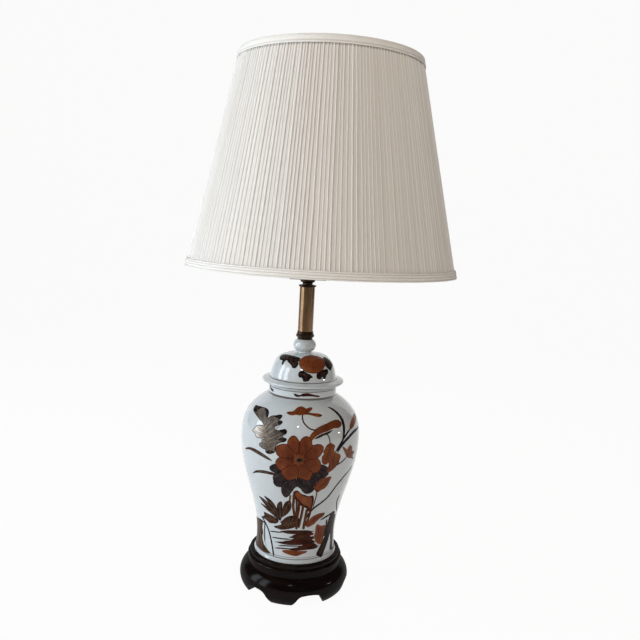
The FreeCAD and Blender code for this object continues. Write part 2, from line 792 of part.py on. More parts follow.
def make_socket():
    """The socket: cap with its set screw, brass shell, card liner, block, screw shell and contact."""
    cap_bore = "pipe_radius + thread_clearance"
    cap = turned_body("socket_cap_turning", [
        (cap_bore, "0"),
        ("cap_hub_radius", "0"),
        ("cap_hub_radius", "cap_hub_height"),
        ("cap_radius", "cap_cone_level"),
        ("cap_radius", "cap_height"),
        ("cap_radius - cap_wall", "cap_height"),
        ("cap_radius - cap_wall", "cap_cone_level + cap_wall / 2"),
        ("block_foot_radius + cap_wall", "cap_floor"),
        (cap_bore, "cap_floor"),
    ])
    drill = rod("cap_drill", "set_screw_radius + thread_clearance", "cap_radius", "pipe_radius", "y", 180.0,
                "cap_hub_height / 2")
    keep(cut("socket_cap", cap, [drill]), "socket_cap", SOCKET)
    screw = rod("cap_set_screw", "set_screw_radius", "set_screw_length", "pipe_radius + thread_clearance",
                "y", 180.0, f"{SOCKET} + cap_hub_height / 2")
    keep(screw, "cap_set_screw")
    shell_outer = "cap_radius - cap_wall - shell_clearance"
    shell = turned_body("socket_shell_turning",
                        tube_outline(shell_outer, f"{shell_outer} - shell_wall", "shell_height"))
    port = rod("shell_port", "switch_port_radius", "cap_radius", "block_radius / 2", "y", 0.0,
               "switch_level - shell_start")
    keep(cut("socket_shell", shell, [port]), "socket_shell", SOCKET + " + shell_start")
    liner_outer = f"{shell_outer} - shell_wall - liner_clearance"
    liner = turned_body("socket_liner_turning",
                        tube_outline(liner_outer, f"{liner_outer} - liner_wall", "liner_height"))
    port = rod("liner_port", "switch_port_radius", "cap_radius", "block_radius / 2", "y", 0.0,
               "switch_level - liner_start")
    keep(cut("socket_liner", liner, [port]), "socket_liner", SOCKET + " + liner_start")
    make_block()
    wall_outer = "bulb_base_radius + bulb_base_clearance + screw_shell_wall"
    turned("screw_shell", SOCKET + " + block_boss_top", [
        ("screw_shell_hole", "0"),
        (wall_outer, "0"),
        (wall_outer, "screw_shell_height"),
        ("bulb_base_radius + bulb_base_clearance", "screw_shell_height"),
        ("bulb_base_radius + bulb_base_clearance", "screw_shell_wall"),
        ("screw_shell_hole", "screw_shell_wall"),
    ])
    turned("centre_contact", SOCKET + " + block_boss_top - contact_stem_length", [
        ("0", "0"),
        ("contact_stem_radius", "0"),
        ("contact_stem_radius", "contact_stem_length"),
        ("contact_head_radius", "contact_stem_length"),
        ("contact_head_radius", "contact_stem_length + contact_head_height"),
        ("0", "contact_stem_length + contact_head_height"),
    ])


def make_block():
    """The insulating block on the cap's floor, drilled for the switch shaft and two terminal screws."""
    block = turned_body("block_turning", [
        ("block_bore_radius", "cap_floor"),
        ("block_foot_radius", "cap_floor"),
        ("block_foot_radius", "block_underside"),
        ("block_radius", "block_underside"),
        ("block_radius", "block_top"),
        ("block_boss_radius", "block_top"),
        ("block_boss_radius", "block_boss_top"),
        ("contact_hole_radius", "block_boss_top"),
        ("contact_hole_radius", "block_boss_top - contact_stem_length"),
        ("block_bore_radius", "block_boss_top - contact_stem_length"),
    ])
    tools = [rod("shaft_bore", "switch_shaft_radius + switch_running_clearance", "block_radius",
                 "block_bore_radius / 2", "y", 0.0, "switch_level")]
    for side, turn in (("left", 180.0), ("right", 0.0)):
        tools.append(rod(f"terminal_hole_{side}", "terminal_shank_radius + thread_clearance", "block_radius",
                         "block_radius - terminal_shank_length", "x", turn, "terminal_level"))
        outline = [
            ("0", "0"),
            ("terminal_shank_radius", "0"),
            ("terminal_shank_radius", "terminal_shank_length"),
            ("terminal_head_radius", "terminal_shank_length"),
            ("terminal_head_radius", "terminal_shank_length + terminal_head_height"),
            ("0", "terminal_shank_length + terminal_head_height"),
        ]
        screw = turned(f"terminal_screw_{side}", "", outline)
        outwards = FreeCAD.Rotation(FreeCAD.Vector(0, 0, 1), turn).multVec(FreeCAD.Vector(1, 0, 0))
        place = outwards * value("block_radius - terminal_shank_length")
        place.z = value(f"{SOCKET} + terminal_level")
        screw.Placement = FreeCAD.Placement(place, FreeCAD.Rotation(FreeCAD.Vector(0, 0, 1), outwards))
    keep(cut("socket_block", block, tools), "socket_block", SOCKET)


def make_switch():
    """The turning switch: a shaft out through the front of the socket and its knob."""
    level = f"{SOCKET} + switch_level"
    shaft = rod("switch_shaft", "switch_shaft_radius", "switch_shaft_length", "switch_shaft_start", "y", 0.0,
                level)
    keep(shaft, "switch_shaft")
    grip = "switch_shaft_radius + thread_clearance"
    knob = turned("switch_knob", "", [
        (grip, "0"),
        ("knob_stem_radius", "0"),
        ("knob_stem_radius", "knob_stem_length"),
        ("knob_radius", "knob_stem_length + knob_shoulder_length"),
        ("knob_radius", "knob_length - knob_end_bevel"),
        ("knob_radius - knob_end_bevel", "knob_length"),
        ("0", "knob_length"),
        ("0", "knob_grip"),
        (grip, "knob_grip"),
    ])
    front = FreeCAD.Vector(0, -1, 0)
    place = front * value("knob_start")
    place.z = value(level)
    knob.Placement = FreeCAD.Placement(place, FreeCAD.Rotation(FreeCAD.Vector(0, 0, 1), front))


def bulb_outline(inset):
    """The side of the glass, from its neck to the top of its ball, drawn in by the inset."""
    ball = value("bulb_ball_radius") - inset
    middle = value("bulb_ball_level")
    neck = value("bulb_neck_radius") - inset
    start = value("bulb_glass_start")
    join = math.radians(value("bulb_shoulder_angle"))
    top = math.radians(value("bulb_crown_angle"))
    shoulder = (ball * math.cos(join), middle + ball * math.sin(join))
    rise = shoulder[1] - start
    spread = shoulder[0] - neck
    bend = (neck + spread * value("bulb_bend_out_share"), start + rise * value("bulb_bend_up_share"))
    throat = (neck, start + rise * value("bulb_throat_share"))
    return [
        [(0, start), (neck, start)],
        [(neck, start), throat],
        [throat, bend, shoulder],
        [shoulder, (ball * math.cos(top), middle + ball * math.sin(top)), (0, middle + ball)],
        [(0, middle + ball), (0, start)],
    ]


def make_bulb():
    """The bulb: glass, screw base, tip contact, and the stem that carries the filament."""
    glass = revolved(bulb_outline(0)).cut(revolved(bulb_outline(value("bulb_glass_wall"))))
    shaped("bulb_glass", glass, BULB)
    base_inner = "bulb_base_radius - bulb_base_wall"
    base = tube_outline("bulb_base_radius", base_inner, "bulb_base_height")
    turned("bulb_base", BULB + " + bulb_base_start", base)
    turned("bulb_tip", BULB, [
        ("0", "0"),
        ("bulb_tip_radius", "0"),
        ("bulb_tip_radius", "bulb_base_start / 3"),
        ("bulb_base_radius", "bulb_base_start"),
        ("0", "bulb_base_start"),
    ])
    stem = cylinder_up("stem_tube", "bulb_stem_radius", "bulb_stem_height", "bulb_base_start")
    pieces = [stem]
    for side, sign in (("left", "-"), ("right", "")):
        post_base = "bulb_base_start + bulb_stem_height - 2 * bulb_stem_radius"
        start = FreeCAD.Vector(value(f"{sign}bulb_stem_radius") / 2, 0, value(post_base))
        end = FreeCAD.Vector(value(f"{sign}filament_half_span"), 0, value("filament_level"))
        post = doc.addObject("Part::Cylinder", f"stem_{side}_post")
        post.setExpression("Radius", bound("filament_wire_radius"))
        post.Height = (end - start).Length
        post.Placement = FreeCAD.Placement(start, FreeCAD.Rotation(FreeCAD.Vector(0, 0, 1), end - start))
        pieces.append(post)
    filament = rod("filament", "filament_wire_radius", "2 * filament_half_span", "-filament_half_span", "x",
                   0.0, "filament_level")
    keep(fused("bulb_stem", pieces + [filament]), "bulb_stem", BULB)


def cone_band(outset, thickness, low, high):
    """A band of the shade's side between two heights, its outer face drawn in by the outset."""
    def outer(height):
        return f"shade_bottom_radius - ({outset}) - ({height}) * {SHADE_SLOPE}"
    return [
        (f"{outer(low)} - ({thickness})", low),
        (outer(low), low),
        (outer(high), high),
        (f"{outer(high)} - ({thickness})", high),
    ]


def make_shade():
    """The shade's skin: stiff lining, pleated cover as a plain shell, and a band at each edge."""
    cover_outset = "trim_thickness"
    lining_outset = "trim_thickness + pleat_depth + layer_gap"
    top_band = "shade_height - trim_height"
    band = "trim_thickness - layer_gap"
    lining = cone_band(lining_outset, "lining_thickness", "0", "shade_height")
    turned("shade_lining", SHADE, lining, "harp_lean")
    turned("shade_cover", SHADE, cone_band(cover_outset, "pleat_depth", "0", "shade_height"), "harp_lean")
    turned("shade_bottom_trim", SHADE, cone_band("0", band, "0", "trim_height"), "harp_lean")
    turned("shade_top_trim", SHADE, cone_band("0", band, top_band, "shade_height"), "harp_lean")


def shade_wire_ring(height):
    """The centre-line radius of a ring wire inside the lining at a height on the shade."""
    skin = "trim_thickness + pleat_depth + layer_gap + lining_thickness"
    inset = f"{skin} + shade_wire_gap + shade_wire_radius"
    return f"shade_bottom_radius - ({height}) * {SHADE_SLOPE} - ({inset})"


def make_shade_frame():
    """The shade's wire frame: a ring at each edge, a hub on the stud and the arms between them."""
    top_height = "shade_height - shade_wire_inset"
    for name, height in (("shade_bottom_ring", "shade_wire_inset"), ("shade_top_ring", top_height)):
        ring = doc.addObject("Part::Torus", name)
        ring.setExpression("Radius1", bound(shade_wire_ring(height)))
        ring.setExpression("Radius2", bound("shade_wire_radius"))
        keep(ring, name, f"{SHADE} + {height}", "harp_lean")
    bore = "stud_radius + shade_hub_clearance"
    hub = turned_body("shade_hub_turning", tube_outline("shade_hub_radius", bore, "shade_hub_thickness"))
    drills = []
    hub_level = value(f"{SHADE_SEAT} + shade_hub_thickness / 2")
    ring_level = value(f"{SHADE} + {top_height}")
    ring_reach = value(shade_wire_ring(top_height)) - value("shade_wire_radius")
    start = value("shade_hub_radius - arm_grip")
    bend = value("arm_bend_radius")
    for i in range(int(value("arm_count"))):
        azimuth = value("arm_turn") + 360 / value("arm_count") * i
        drills.append(rod(f"hub_drill_{i + 1}", "arm_wire_radius + thread_clearance", "shade_hub_radius",
                          "shade_hub_radius - arm_grip", "y", azimuth, "shade_hub_thickness / 2"))
        points = [
            around(azimuth, start, hub_level),
            around(azimuth, start + value("arm_hub_run"), hub_level),
            around(azimuth, ring_reach - value("arm_ring_run"), ring_level),
            around(azimuth, ring_reach, ring_level),
        ]
        arm = bent_wire(points, [bend, bend], value("arm_wire_radius"))
        shaped(f"shade_arm_{i + 1}", arm, "", "harp_lean")
    keep(cut("shade_hub", hub, drills), "shade_hub", SHADE_SEAT, "harp_lean")


def make_finial():
    """The finial and the washer under it."""
    hole = "stud_radius + shade_hub_clearance"
    washer = tube_outline("finial_washer_radius", hole, "finial_washer_thickness")
    turned("finial_washer", FINIAL_WASHER, washer, "harp_lean")
    bore = value("stud_radius + finial_clearance")
    base = value("finial_base_radius")
    base_top = value("finial_base_height")
    ball = value("finial_ball_radius")
    ball_level = value("finial_ball_level")
    half_height = value("finial_ball_half_height")
    tip = value("finial_tip_radius")
    low = -math.acos(value("finial_neck_radius") / ball)
    high = math.acos(tip / ball)
    turns = [low + (high - low) * i / 6 for i in range(7)]
    side = [(ball * math.cos(turn), ball_level + half_height * math.sin(turn)) for turn in turns]
    neck = side[0]
    top = value("finial_height")
    depth = value("finial_thread_depth")
    groove_width = value("finial_groove_width")
    groove_height = value("finial_groove_height")
    slant = math.sqrt(0.5)
    spans = [
        [(bore, 0), (base, 0)],
        [(base, 0), (base, base_top)],
        [(base, base_top), (neck[0] + groove_width, base_top + groove_height), neck],
        side,
        [side[-1], (tip, top - tip)],
        [(tip, top - tip), (tip * slant, top - tip * (1 - slant)), (0, top)],
        [(0, top), (0, depth)],
        [(0, depth), (bore, depth)],
        [(bore, depth), (bore, 0)],
    ]
    shaped("finial", revolved(spans), FINIAL, "harp_lean")


def write_parts():
    """Check every object and write each finished sub-part in the frame under the shade."""
    doc.recompute()
    for item in doc.Objects:
        if "Invalid" in item.State or "Error" in item.State:
            raise RuntimeError(f"{item.Label} did not build: {item.State}")
    os.makedirs("parts", exist_ok=True)
    to_frame = FreeCAD.Vector(-value("harp_lean"), 0, 0)
    for item in parts:
        solid = item.Shape.translated(to_frame)
        if solid.isNull() or not solid.isValid() or len(solid.Solids) != 1:
            raise RuntimeError(f"{item.Label} is not one valid solid")
        solid.exportStep(f"parts/{item.Label}.step")
        box = solid.BoundBox
        print(f"{item.Label:24s} z {box.ZMin:8.2f} to {box.ZMax:8.2f}  volume {solid.Volume:12.1f}")


fill_sheet()
make_stand()
make_deck()
make_inlet()
make_pipe()
make_jar()
make_lid()
make_ball()
make_neck()
make_saddle()
make_harp()
make_socket()
make_switch()
make_bulb()
make_shade()
make_shade_frame()
make_finial()
write_parts()
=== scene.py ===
import math
import random

import bmesh
import bpy
from mathutils import Matrix, Vector, noise
from mathutils.bvhtree import BVHTree


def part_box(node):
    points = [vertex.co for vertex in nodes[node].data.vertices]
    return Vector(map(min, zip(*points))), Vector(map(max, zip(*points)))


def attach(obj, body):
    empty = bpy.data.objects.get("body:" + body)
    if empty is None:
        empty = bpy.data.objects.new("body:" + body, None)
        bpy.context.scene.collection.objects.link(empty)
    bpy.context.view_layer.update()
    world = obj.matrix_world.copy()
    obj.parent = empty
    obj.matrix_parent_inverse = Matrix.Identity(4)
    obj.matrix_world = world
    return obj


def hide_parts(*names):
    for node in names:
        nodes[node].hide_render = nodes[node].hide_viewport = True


# Covered-jar table lamp: wooden stand, painted porcelain jar with its lid, brass neck, socket and
# bulb, wire harp and pleated shade. Metres; +Z is up and the front is -Y.
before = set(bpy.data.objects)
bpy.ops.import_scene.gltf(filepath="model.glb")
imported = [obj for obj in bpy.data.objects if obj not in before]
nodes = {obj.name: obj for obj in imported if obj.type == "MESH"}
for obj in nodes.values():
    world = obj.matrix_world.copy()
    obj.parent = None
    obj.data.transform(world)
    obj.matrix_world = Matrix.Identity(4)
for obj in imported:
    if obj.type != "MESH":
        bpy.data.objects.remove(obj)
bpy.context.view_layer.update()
scene = bpy.context.scene
scene.view_settings.view_transform = "Standard"


# ---- Floor, backdrop and daylight ---------------------------------------------------------------
# A pale sweep stands in for the white ground. A tall window on the left does most of the work, a
# warm panel in front keeps the right side from going dark, a second panel lights the back, and two
# small bulbs glint in the glaze.

class Wire:
    """A socket in a finish's node tree. Sums on it add Math nodes, and make() adds any other node."""

    def __init__(self, tree, socket=None):
        self.tree = tree
        self.socket = socket

    def make(self, kind, settings=(), inputs=(), output=0):
        """Add a node with its settings, plug its inputs in, and return one of its outputs."""
        node = self.tree.nodes.new(kind)
        for name, setting in dict(settings).items():
            setattr(node, name, setting)
        for name, item in dict(inputs).items():
            self.plug(node.inputs[name], item)
        return Wire(self.tree, node.outputs[output])

    def plug(self, socket, item):
        """Link a wire to a socket, or set the socket to a plain value."""
        if isinstance(item, Wire):
            self.tree.links.new(item.socket, socket)
        elif socket.type == "RGBA":
            socket.default_value = (*item, 1.0)
        else:
            socket.default_value = item

    def sum(self, operation, *items):
        return self.make("ShaderNodeMath", {"operation": operation}, enumerate(items))

    def __add__(self, other):
        return self.sum("ADD", self, other)

    def __sub__(self, other):
        return self.sum("SUBTRACT", self, other)

    def __rsub__(self, other):
        return self.sum("SUBTRACT", other, self)

    def __mul__(self, other):
        return self.sum("MULTIPLY", self, other)

    def __truediv__(self, other):
        return self.sum("DIVIDE", self, other)

    def __rtruediv__(self, other):
        return self.sum("DIVIDE", other, self)

    __radd__ = __add__
    __rmul__ = __mul__

    def between(self, low, high):
        """0 below low, 1 above high, and a smooth rise between them."""
        settings = {"interpolation_type": "SMOOTHSTEP"}
        return self.make("ShaderNodeMapRange", settings, {0: self, 1: low, 2: high})

    def within(self, start, full, fade, end):
        """0 up to start, 1 from full to fade, and 0 again from end."""
        return self.between(start, full) * (1 - self.between(fade, end))

    def mix(self, first, second):
        """The first colour where this is 0, the second where it is 1."""
        return self.make("ShaderNodeMix", {"data_type": "RGBA"}, {0: self, 6: first, 7: second}, 2)

    def rays(self):
        """Whether a ray comes from the camera, from a mirror or through glass."""
        kinds = ("Is Camera Ray", "Is Glossy Ray", "Is Transmission Ray")
        return [self.make("ShaderNodeLightPath", output=kind) for kind in kinds]

    def place(self):
        """Object coordinates."""
        return self.make("ShaderNodeTexCoord", output="Object")

    def along(self, axis):
        """A place's share along X, Y or Z."""
        return self.make("ShaderNodeSeparateXYZ", inputs={0: self}, output=axis)

    def clouds(self, scale, detail, ragged, stretch=(1, 1, 1)):
        """Noise from 0 to 1 at this place, which is stretched first."""
        moved = self.make("ShaderNodeMapping", inputs={"Vector": self, "Scale": stretch})
        inputs = {"Vector": moved, "Scale": scale, "Detail": detail, "Roughness": ragged}
        return self.make("ShaderNodeTexNoise", inputs=inputs)


def new_finish(name, **constants):
    """A finish with plain values on its shader's own sockets. Returns it, its shader and its wire."""
    finish = bpy.data.materials.new(name)
    finish.use_nodes = True
    tree = finish.node_tree
    shader = tree.nodes["Principled BSDF"]
    wire = Wire(tree)
    for socket, item in constants.items():
        wire.plug(shader.inputs[socket.replace("_", " ")], item)
    return finish, shader, wire


def points_of(made):
    """The points among what an operator made."""
    return [item for item in made["geom"] if isinstance(item, bmesh.types.BMVert)]


sweep_half, sweep_rise, sweep_bend = 4.0, 5.0, 1.5
sweep_mesh = bmesh.new()
bmesh.ops.create_grid(sweep_mesh, x_segments=1, y_segments=1, size=sweep_half)
far_side = [e for e in sweep_mesh.edges if min(v.co.y for v in e.verts) > sweep_half / 2]
raised = bmesh.ops.extrude_edge_only(sweep_mesh, edges=far_side)
bmesh.ops.translate(sweep_mesh, vec=(0, 0, sweep_rise), verts=points_of(raised))
bend = [e for e in sweep_mesh.edges if len(e.link_faces) == 2]
bmesh.ops.bevel(sweep_mesh, geom=bend, offset=sweep_bend, offset_type="OFFSET", affect="EDGES", segments=16,
                profile=0.5, material=-1)
for face in sweep_mesh.faces:
    face.smooth = True
sweep_data = bpy.data.meshes.new("floor_sweep")
sweep_mesh.to_mesh(sweep_data)
sweep_mesh.free()
sweep = bpy.data.objects.new("floor_sweep", sweep_data)
scene.collection.objects.link(sweep)

# The ground glows white to the camera and keeps a share of the lamp's shadow.
ground, shader, wire = new_finish("white_ground", Base_Color=(0.85, 0.85, 0.85), Roughness=0.9,
                                  Specular_IOR_Level=0.1)
camera_ray, glossy_ray, through_ray = wire.rays()
glow = wire.make("ShaderNodeEmission", inputs={"Color": (1, 1, 1), "Strength": 1.0})
whiteness = (camera_ray + glossy_ray + through_ray) * 0.95
lit = Wire(wire.tree, shader.outputs["BSDF"])
whitened = wire.make("ShaderNodeMixShader", inputs={0: whiteness, 1: lit, 2: glow})
wire.plug(wire.tree.nodes["Material Output"].inputs["Surface"], whitened)
sweep_data.materials.append(ground)

# The room's walls light the lamp dimly, and are white to the camera and through glass.
dim_walls = (0.150, 0.130, 0.108)
world = bpy.data.worlds.new("room")
world.use_nodes = True
scene.world = world
room = Wire(world.node_tree)
camera_ray, glossy_ray, through_ray = room.rays()
walls = (camera_ray + through_ray + glossy_ray * 0.04).mix(dim_walls, (1, 1, 1))
background = world.node_tree.nodes["Background"]
background.inputs["Strength"].default_value = 1.0
room.plug(background.inputs["Color"], walls)


def daylight(name, colour, power, across, tall, place):
    """A soft rectangular light that faces the lamp's middle."""
    data = bpy.data.lights.new(name, "AREA")
    data.shape = "RECTANGLE"
    data.size = across
    data.size_y = tall
    data.energy = power
    data.color = colour
    light = bpy.data.objects.new(name, data)
    light.location = place
    light.rotation_euler = (middle - Vector(place)).to_track_quat("-Z", "Y").to_euler()
    scene.collection.objects.link(light)
    return light


# The jar, the neck and the stand share one upright axis, a little to the left of the shade's.
low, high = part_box("neck_tube")
lamp_x = (low.x + high.x) / 2
middle = Vector((lamp_x, 0, 0.5))

# The window has two panes side by side. The panels aren't mirrored in the glaze, and it is.
window = Vector((lamp_x - 1.92, -0.52, 0.8))
pane_step = Vector((-0.11, 0.40, 0))
for side in (-1, 1):
    daylight("window_pane", (0.83, 0.93, 1.0), power=16.4, across=0.55, tall=1.5,
             place=window + side * pane_step)
front_panel = daylight("front_panel", (1.0, 0.91, 0.79), power=16.8, across=1.5, tall=1.1,
                       place=(lamp_x + 0.2, -2.2, 1.5))
back_panel = daylight("back_panel", (1.0, 0.96, 0.91), power=14.0, across=1.5, tall=1.1,
                      place=(lamp_x - 0.2, 1.7, 2.3))
front_panel.visible_glossy = False
back_panel.visible_glossy = False

# The bulbs stand where the jar's shoulder mirrors them above the big flower.
for place in ((-0.186, -1.682, 1.519), (2.005, -0.407, 0.496)):
    bulb_data = bpy.data.lights.new("room_bulb", "POINT")
    bulb_data.energy = 6.5
    bulb_data.shadow_soft_size = 0.055
    room_bulb = bpy.data.objects.new("room_bulb", bulb_data)
    room_bulb.location = place
    scene.collection.objects.link(room_bulb)

# The camera looks from straight in front of the lamp's pipe, above the jar, tipped down and rolled.
eye_distance, eye_height = 1.2071, 0.6363
yaw, pitch, roll = (math.radians(a) for a in (1.15, 7.61, 2.97))
ahead = Vector((math.sin(yaw) * math.cos(pitch), math.cos(yaw) * math.cos(pitch), -math.sin(pitch)))
level = Vector((math.cos(yaw), -math.sin(yaw), 0))
upright = level.cross(ahead)
right = math.cos(roll) * level + math.sin(roll) * upright
above = math.cos(roll) * upright - math.sin(roll) * level
turned = Matrix((right, above, -ahead)).transposed().to_4x4()
camera_data = bpy.data.cameras.new("camera")
camera_data.sensor_width = 36.0
camera_data.lens = 39.88
camera = bpy.data.objects.new("camera", camera_data)
camera.matrix_world = Matrix.Translation((lamp_x, -eye_distance, eye_height)) @ turned
scene.collection.objects.link(camera)
scene.camera = camera


# ---- Wooden stand -------------------------------------------------------------------------------
# A ring of dense red-brown wood, turned, its skirt sawn into six bracket feet, stained nearly black
# and waxed. A board inside it, the deck, carries the jar's foot a little below the rim.

def dress(finish, *names):
    """Give CAD nodes a finish."""
    for name in names:
        mesh = nodes[name].data
        mesh.materials.clear()
        mesh.materials.append(finish)


def relief(wire, shader, height, depth, strength):
    """A height in shares of the depth, in metres, as the shader's bump."""
    inputs = {"Height": height, "Distance": depth, "Strength": strength}
    wire.plug(shader.inputs["Normal"], wire.make("ShaderNodeBump", inputs=inputs))


# Heights where the wax is rubbed thin: the feet, the collar's edge and the rim.
feet_top, collar, rim = 0.005, (0.0550, 0.0565, 0.0580, 0.0600), 0.0655
rosewood, shader, wire = new_finish("stained_rosewood", Coat_Roughness=0.16, Coat_IOR=1.5,
                                    Specular_IOR_Level=0.0)
where = wire.place()
z = where.along("Z")
grain = where.clouds(26.0, 6.0, 0.62, (1.0, 1.0, 7.0))
pores = where.clouds(420.0, 2.0, 0.5, (1.0, 1.0, 0.12))
rubbed = where.clouds(60.0, 3.0, 0.6)
edges = z.within(*collar) + z.between(rim - 0.0020, rim) + (1 - z.between(feet_top - 0.004, feet_top))
worn = wire.sum("MINIMUM", edges, 1.0) * rubbed.between(0.48, 0.68)
wood = grain.between(0.35, 0.7).mix((0.0022, 0.0012, 0.0010), (0.0085, 0.0036, 0.0026))
wire.plug(shader.inputs["Base Color"], (worn * 0.5).mix(wood, (0.055, 0.023, 0.012)))
wire.plug(shader.inputs["Roughness"], grain * 0.16 + rubbed * 0.16 + 0.20)
wire.plug(shader.inputs["Coat Weight"], 0.18 - worn * 0.1)
relief(wire, shader, pores.between(0.3, 0.6) * 0.5 + grain * 0.5, 0.00025, 0.6)
dress(rosewood, "stand", "stand_deck")


# ---- Porcelain jar ------------------------------------------------------------------------------
# Thrown and turned porcelain under a clear blue-white glaze, its foot ring wiped bare. Thin dark lines run
# round above the foot, at the foot of the neck, under the lid's rim and over it; the wide one just under the
# rim is a painted line and the rim's painted shadow together.

# Bottom and top of each line, and how strongly it covers. The fifth, just under the lid's rim, is partly the
# rim's painted shadow.
lines_and_rim_shadow = ((0.0712, 0.0732, 0.7), (0.0748, 0.0758, 0.7), (0.3466, 0.3500, 0.95), (0.3596, 0.3612, 0.75),
              (0.3646, 0.3680, 0.9), (0.3749, 0.3761, 0.8))
line_blur = 0.0006
wiped_to = 0.0630
porcelain, shader, wire = new_finish("glazed_porcelain", Roughness=0.07, IOR=1.5, Coat_Weight=0.3,
                                     Coat_Roughness=0.03)
where = wire.place()
z = where.along("Z")
pooling = where.clouds(9.0, 3.0, 0.5)
specks = where.clouds(700.0, 1.0, 0.4)
orange_peel = where.clouds(45.0, 2.0, 0.5)
glaze = pooling.mix((0.525, 0.570, 0.610), (0.580, 0.618, 0.648))
glaze = specks.between(0.74, 0.78).mix(glaze, (0.45, 0.42, 0.38))
lines = 0
for low, high, strength in lines_and_rim_shadow:
    lines = z.within(low, low + line_blur, high, high + line_blur) * strength + lines
glaze = lines.mix(glaze, (0.045, 0.028, 0.022))
bare = 1 - z.between(wiped_to, wiped_to + 0.0004)
wire.plug(shader.inputs["Base Color"], bare.mix(glaze, (0.62, 0.56, 0.48)))
relief(wire, shader, pooling * 0.8 + orange_peel * 0.2, 0.0016, 0.35)
dress(porcelain, "jar", "lid", "lid_ball")


# ---- Painted flowers ----------------------------------------------------------------------------
# Enamels brushed on the fired glaze and fired again: a lotus pond with one big flower, leaves, reeds
# and water, its sprays repeated on the back and on the lid. Each colour stands a little proud.

# Shapes are drawn flat: degrees round from the front, each this many millimetres wide, a lift off
# the glaze and a height above the floor in millimetres. The lifts set what lies over what: washes at
# about 0.2, and the lines on them at up to 0.4.
around = 1.7
glazed = bmesh.new()
for name in ("jar", "lid"):
    glazed.from_mesh(nodes[name].data)
glaze_surface = BVHTree.FromBMesh(glazed)
glazed.free()


def on_glaze(turn, height, lift):
    """The place over the glaze at a turn in degrees and a height and a lift in millimetres."""
    outward = Vector((math.sin(math.radians(turn)), -math.cos(math.radians(turn)), 0))
    start = Vector((lamp_x, 0, height / 1000)) + outward * 0.3
    place, normal, _, _ = glaze_surface.ray_cast(start, -outward)
    return place + normal * (lift / 1000)


def girth(height):
    """Millimetres for one degree of turn at a height."""
    place = on_glaze(0, height, 0)
    return math.radians(math.hypot(place.x - lamp_x, place.y) * 1000)


def flowing(points, closed):
    """A smooth line through points."""
    steps = 4
    count = len(points)
    line = []
    for i in range(count if closed else count - 1):
        near = [points[(i + k) % count] if closed else points[min(max(i + k, 0), count - 1)]
                for k in (-1, 0, 1, 2)]
        for step in range(steps):
            t = step / steps
            weights = ((-t + 2 * t * t - t ** 3) / 2, (2 - 5 * t * t + 3 * t ** 3) / 2,
                       (t + 4 * t * t - 3 * t ** 3) / 2, (t ** 3 - t * t) / 2)
            line.append(tuple(sum(w * p[k] for w, p in zip(weights, near)) for k in (0, 1)))
    return line if closed else line + [tuple(points[-1])]


def wash(drawing, lift, *points):
    """A patch of colour inside a smooth outline."""
    corners = [drawing.verts.new((turn * around, lift, height)) for turn, height in flowing(points, True)]
    drawing.faces.new(corners)


def stroke(drawing, lift, width, *points, ends=(0.35, 0.2)):
    """A brush line, full in its middle, whose ends are these shares of its width."""
    line = flowing(points, False)
    rows = []
    for i, (turn, height) in enumerate(line):
        scale = girth(height)
        before, after = line[max(i - 1, 0)], line[min(i + 1, len(line) - 1)]
        along = Vector(((after[0] - before[0]) * scale, after[1] - before[1])).normalized()
        share = i / (len(line) - 1)
        half = width / 2 * min(1.0, ends[0] + 4 * share, ends[1] + 4 * (1 - share))
        sides = [(turn - side * along.y / scale, height + side * along.x) for side in (half, -half)]
        rows.append([drawing.verts.new((turn * around, lift, height)) for turn, height in sides])
    for near, far in zip(rows, rows[1:]):
        drawing.faces.new((near[0], near[1], far[1], far[0]))


def outline(drawing, lift, width, *points):
    """An even brush line round a closed shape."""
    stroke(drawing, lift, width, *points, points[0], ends=(1, 1))


def piece(name, mesh, finish, body, slot, *replaced):
    """Make a finished mesh a piece of the lamp, riding on its body."""
    for face in mesh.faces:
        face.smooth = True
    data = bpy.data.meshes.new(name)
    mesh.to_mesh(data)
    mesh.free()
    data.materials.append(finish)
    made = bpy.data.objects.new(name, data)
    scene.collection.objects.link(made)
    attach(made, body)
    if replaced:
        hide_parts(*replaced)
    return made


def fire(name, drawing, finish):
    """Lay a flat drawing on the glaze, on the front and on the back, as one piece."""
    drawing.normal_update()
    bmesh.ops.reverse_faces(drawing, faces=[face for face in drawing.faces if face.normal.y > 0])
    bmesh.ops.triangulate(drawing, faces=drawing.faces, ngon_method="EAR_CLIP")
    # Cuts let it bend: every 2.5 degrees round, every 4 mm up, and finer over the crown of the lid.
    foot, crown, top = 66, 405, 417
    sideways, up = Vector((1, 0, 0)), Vector((0, 0, 1))
    cuts = ((sideways, -100 * around, 100 * around, 2.5 * around), (up, foot, crown - 1, 4.0),
            (up, crown, top, 0.75))
    for across, place, last, step in cuts:
        while place < last:
            bmesh.ops.bisect_plane(drawing, geom=drawing.verts[:] + drawing.edges[:] + drawing.faces[:],
                                   plane_co=across * place, plane_no=across, dist=1e-4)
            place += step
    # The rims turn down sharply and end just inside the glaze.
    sunk = -0.1
    rims = [e for e in drawing.edges if e.is_boundary]
    for e in rims:
        e.smooth = False
    for v in points_of(bmesh.ops.extrude_edge_only(drawing, edges=rims)):
        v.co.y = sunk
    again = bmesh.ops.duplicate(drawing, geom=drawing.verts[:] + drawing.edges[:] + drawing.faces[:])
    bmesh.ops.translate(drawing, vec=(180 * around, 0, 0), verts=points_of(again))
    for v in drawing.verts:
        v.co = on_glaze(v.co.x / around, v.co.z, v.co.y)
    return piece(name, drawing, finish, "base", "glazed_porcelain")


orange, rust, ink, slate, brown, dusty, gilt = (bmesh.new() for _ in range(7))

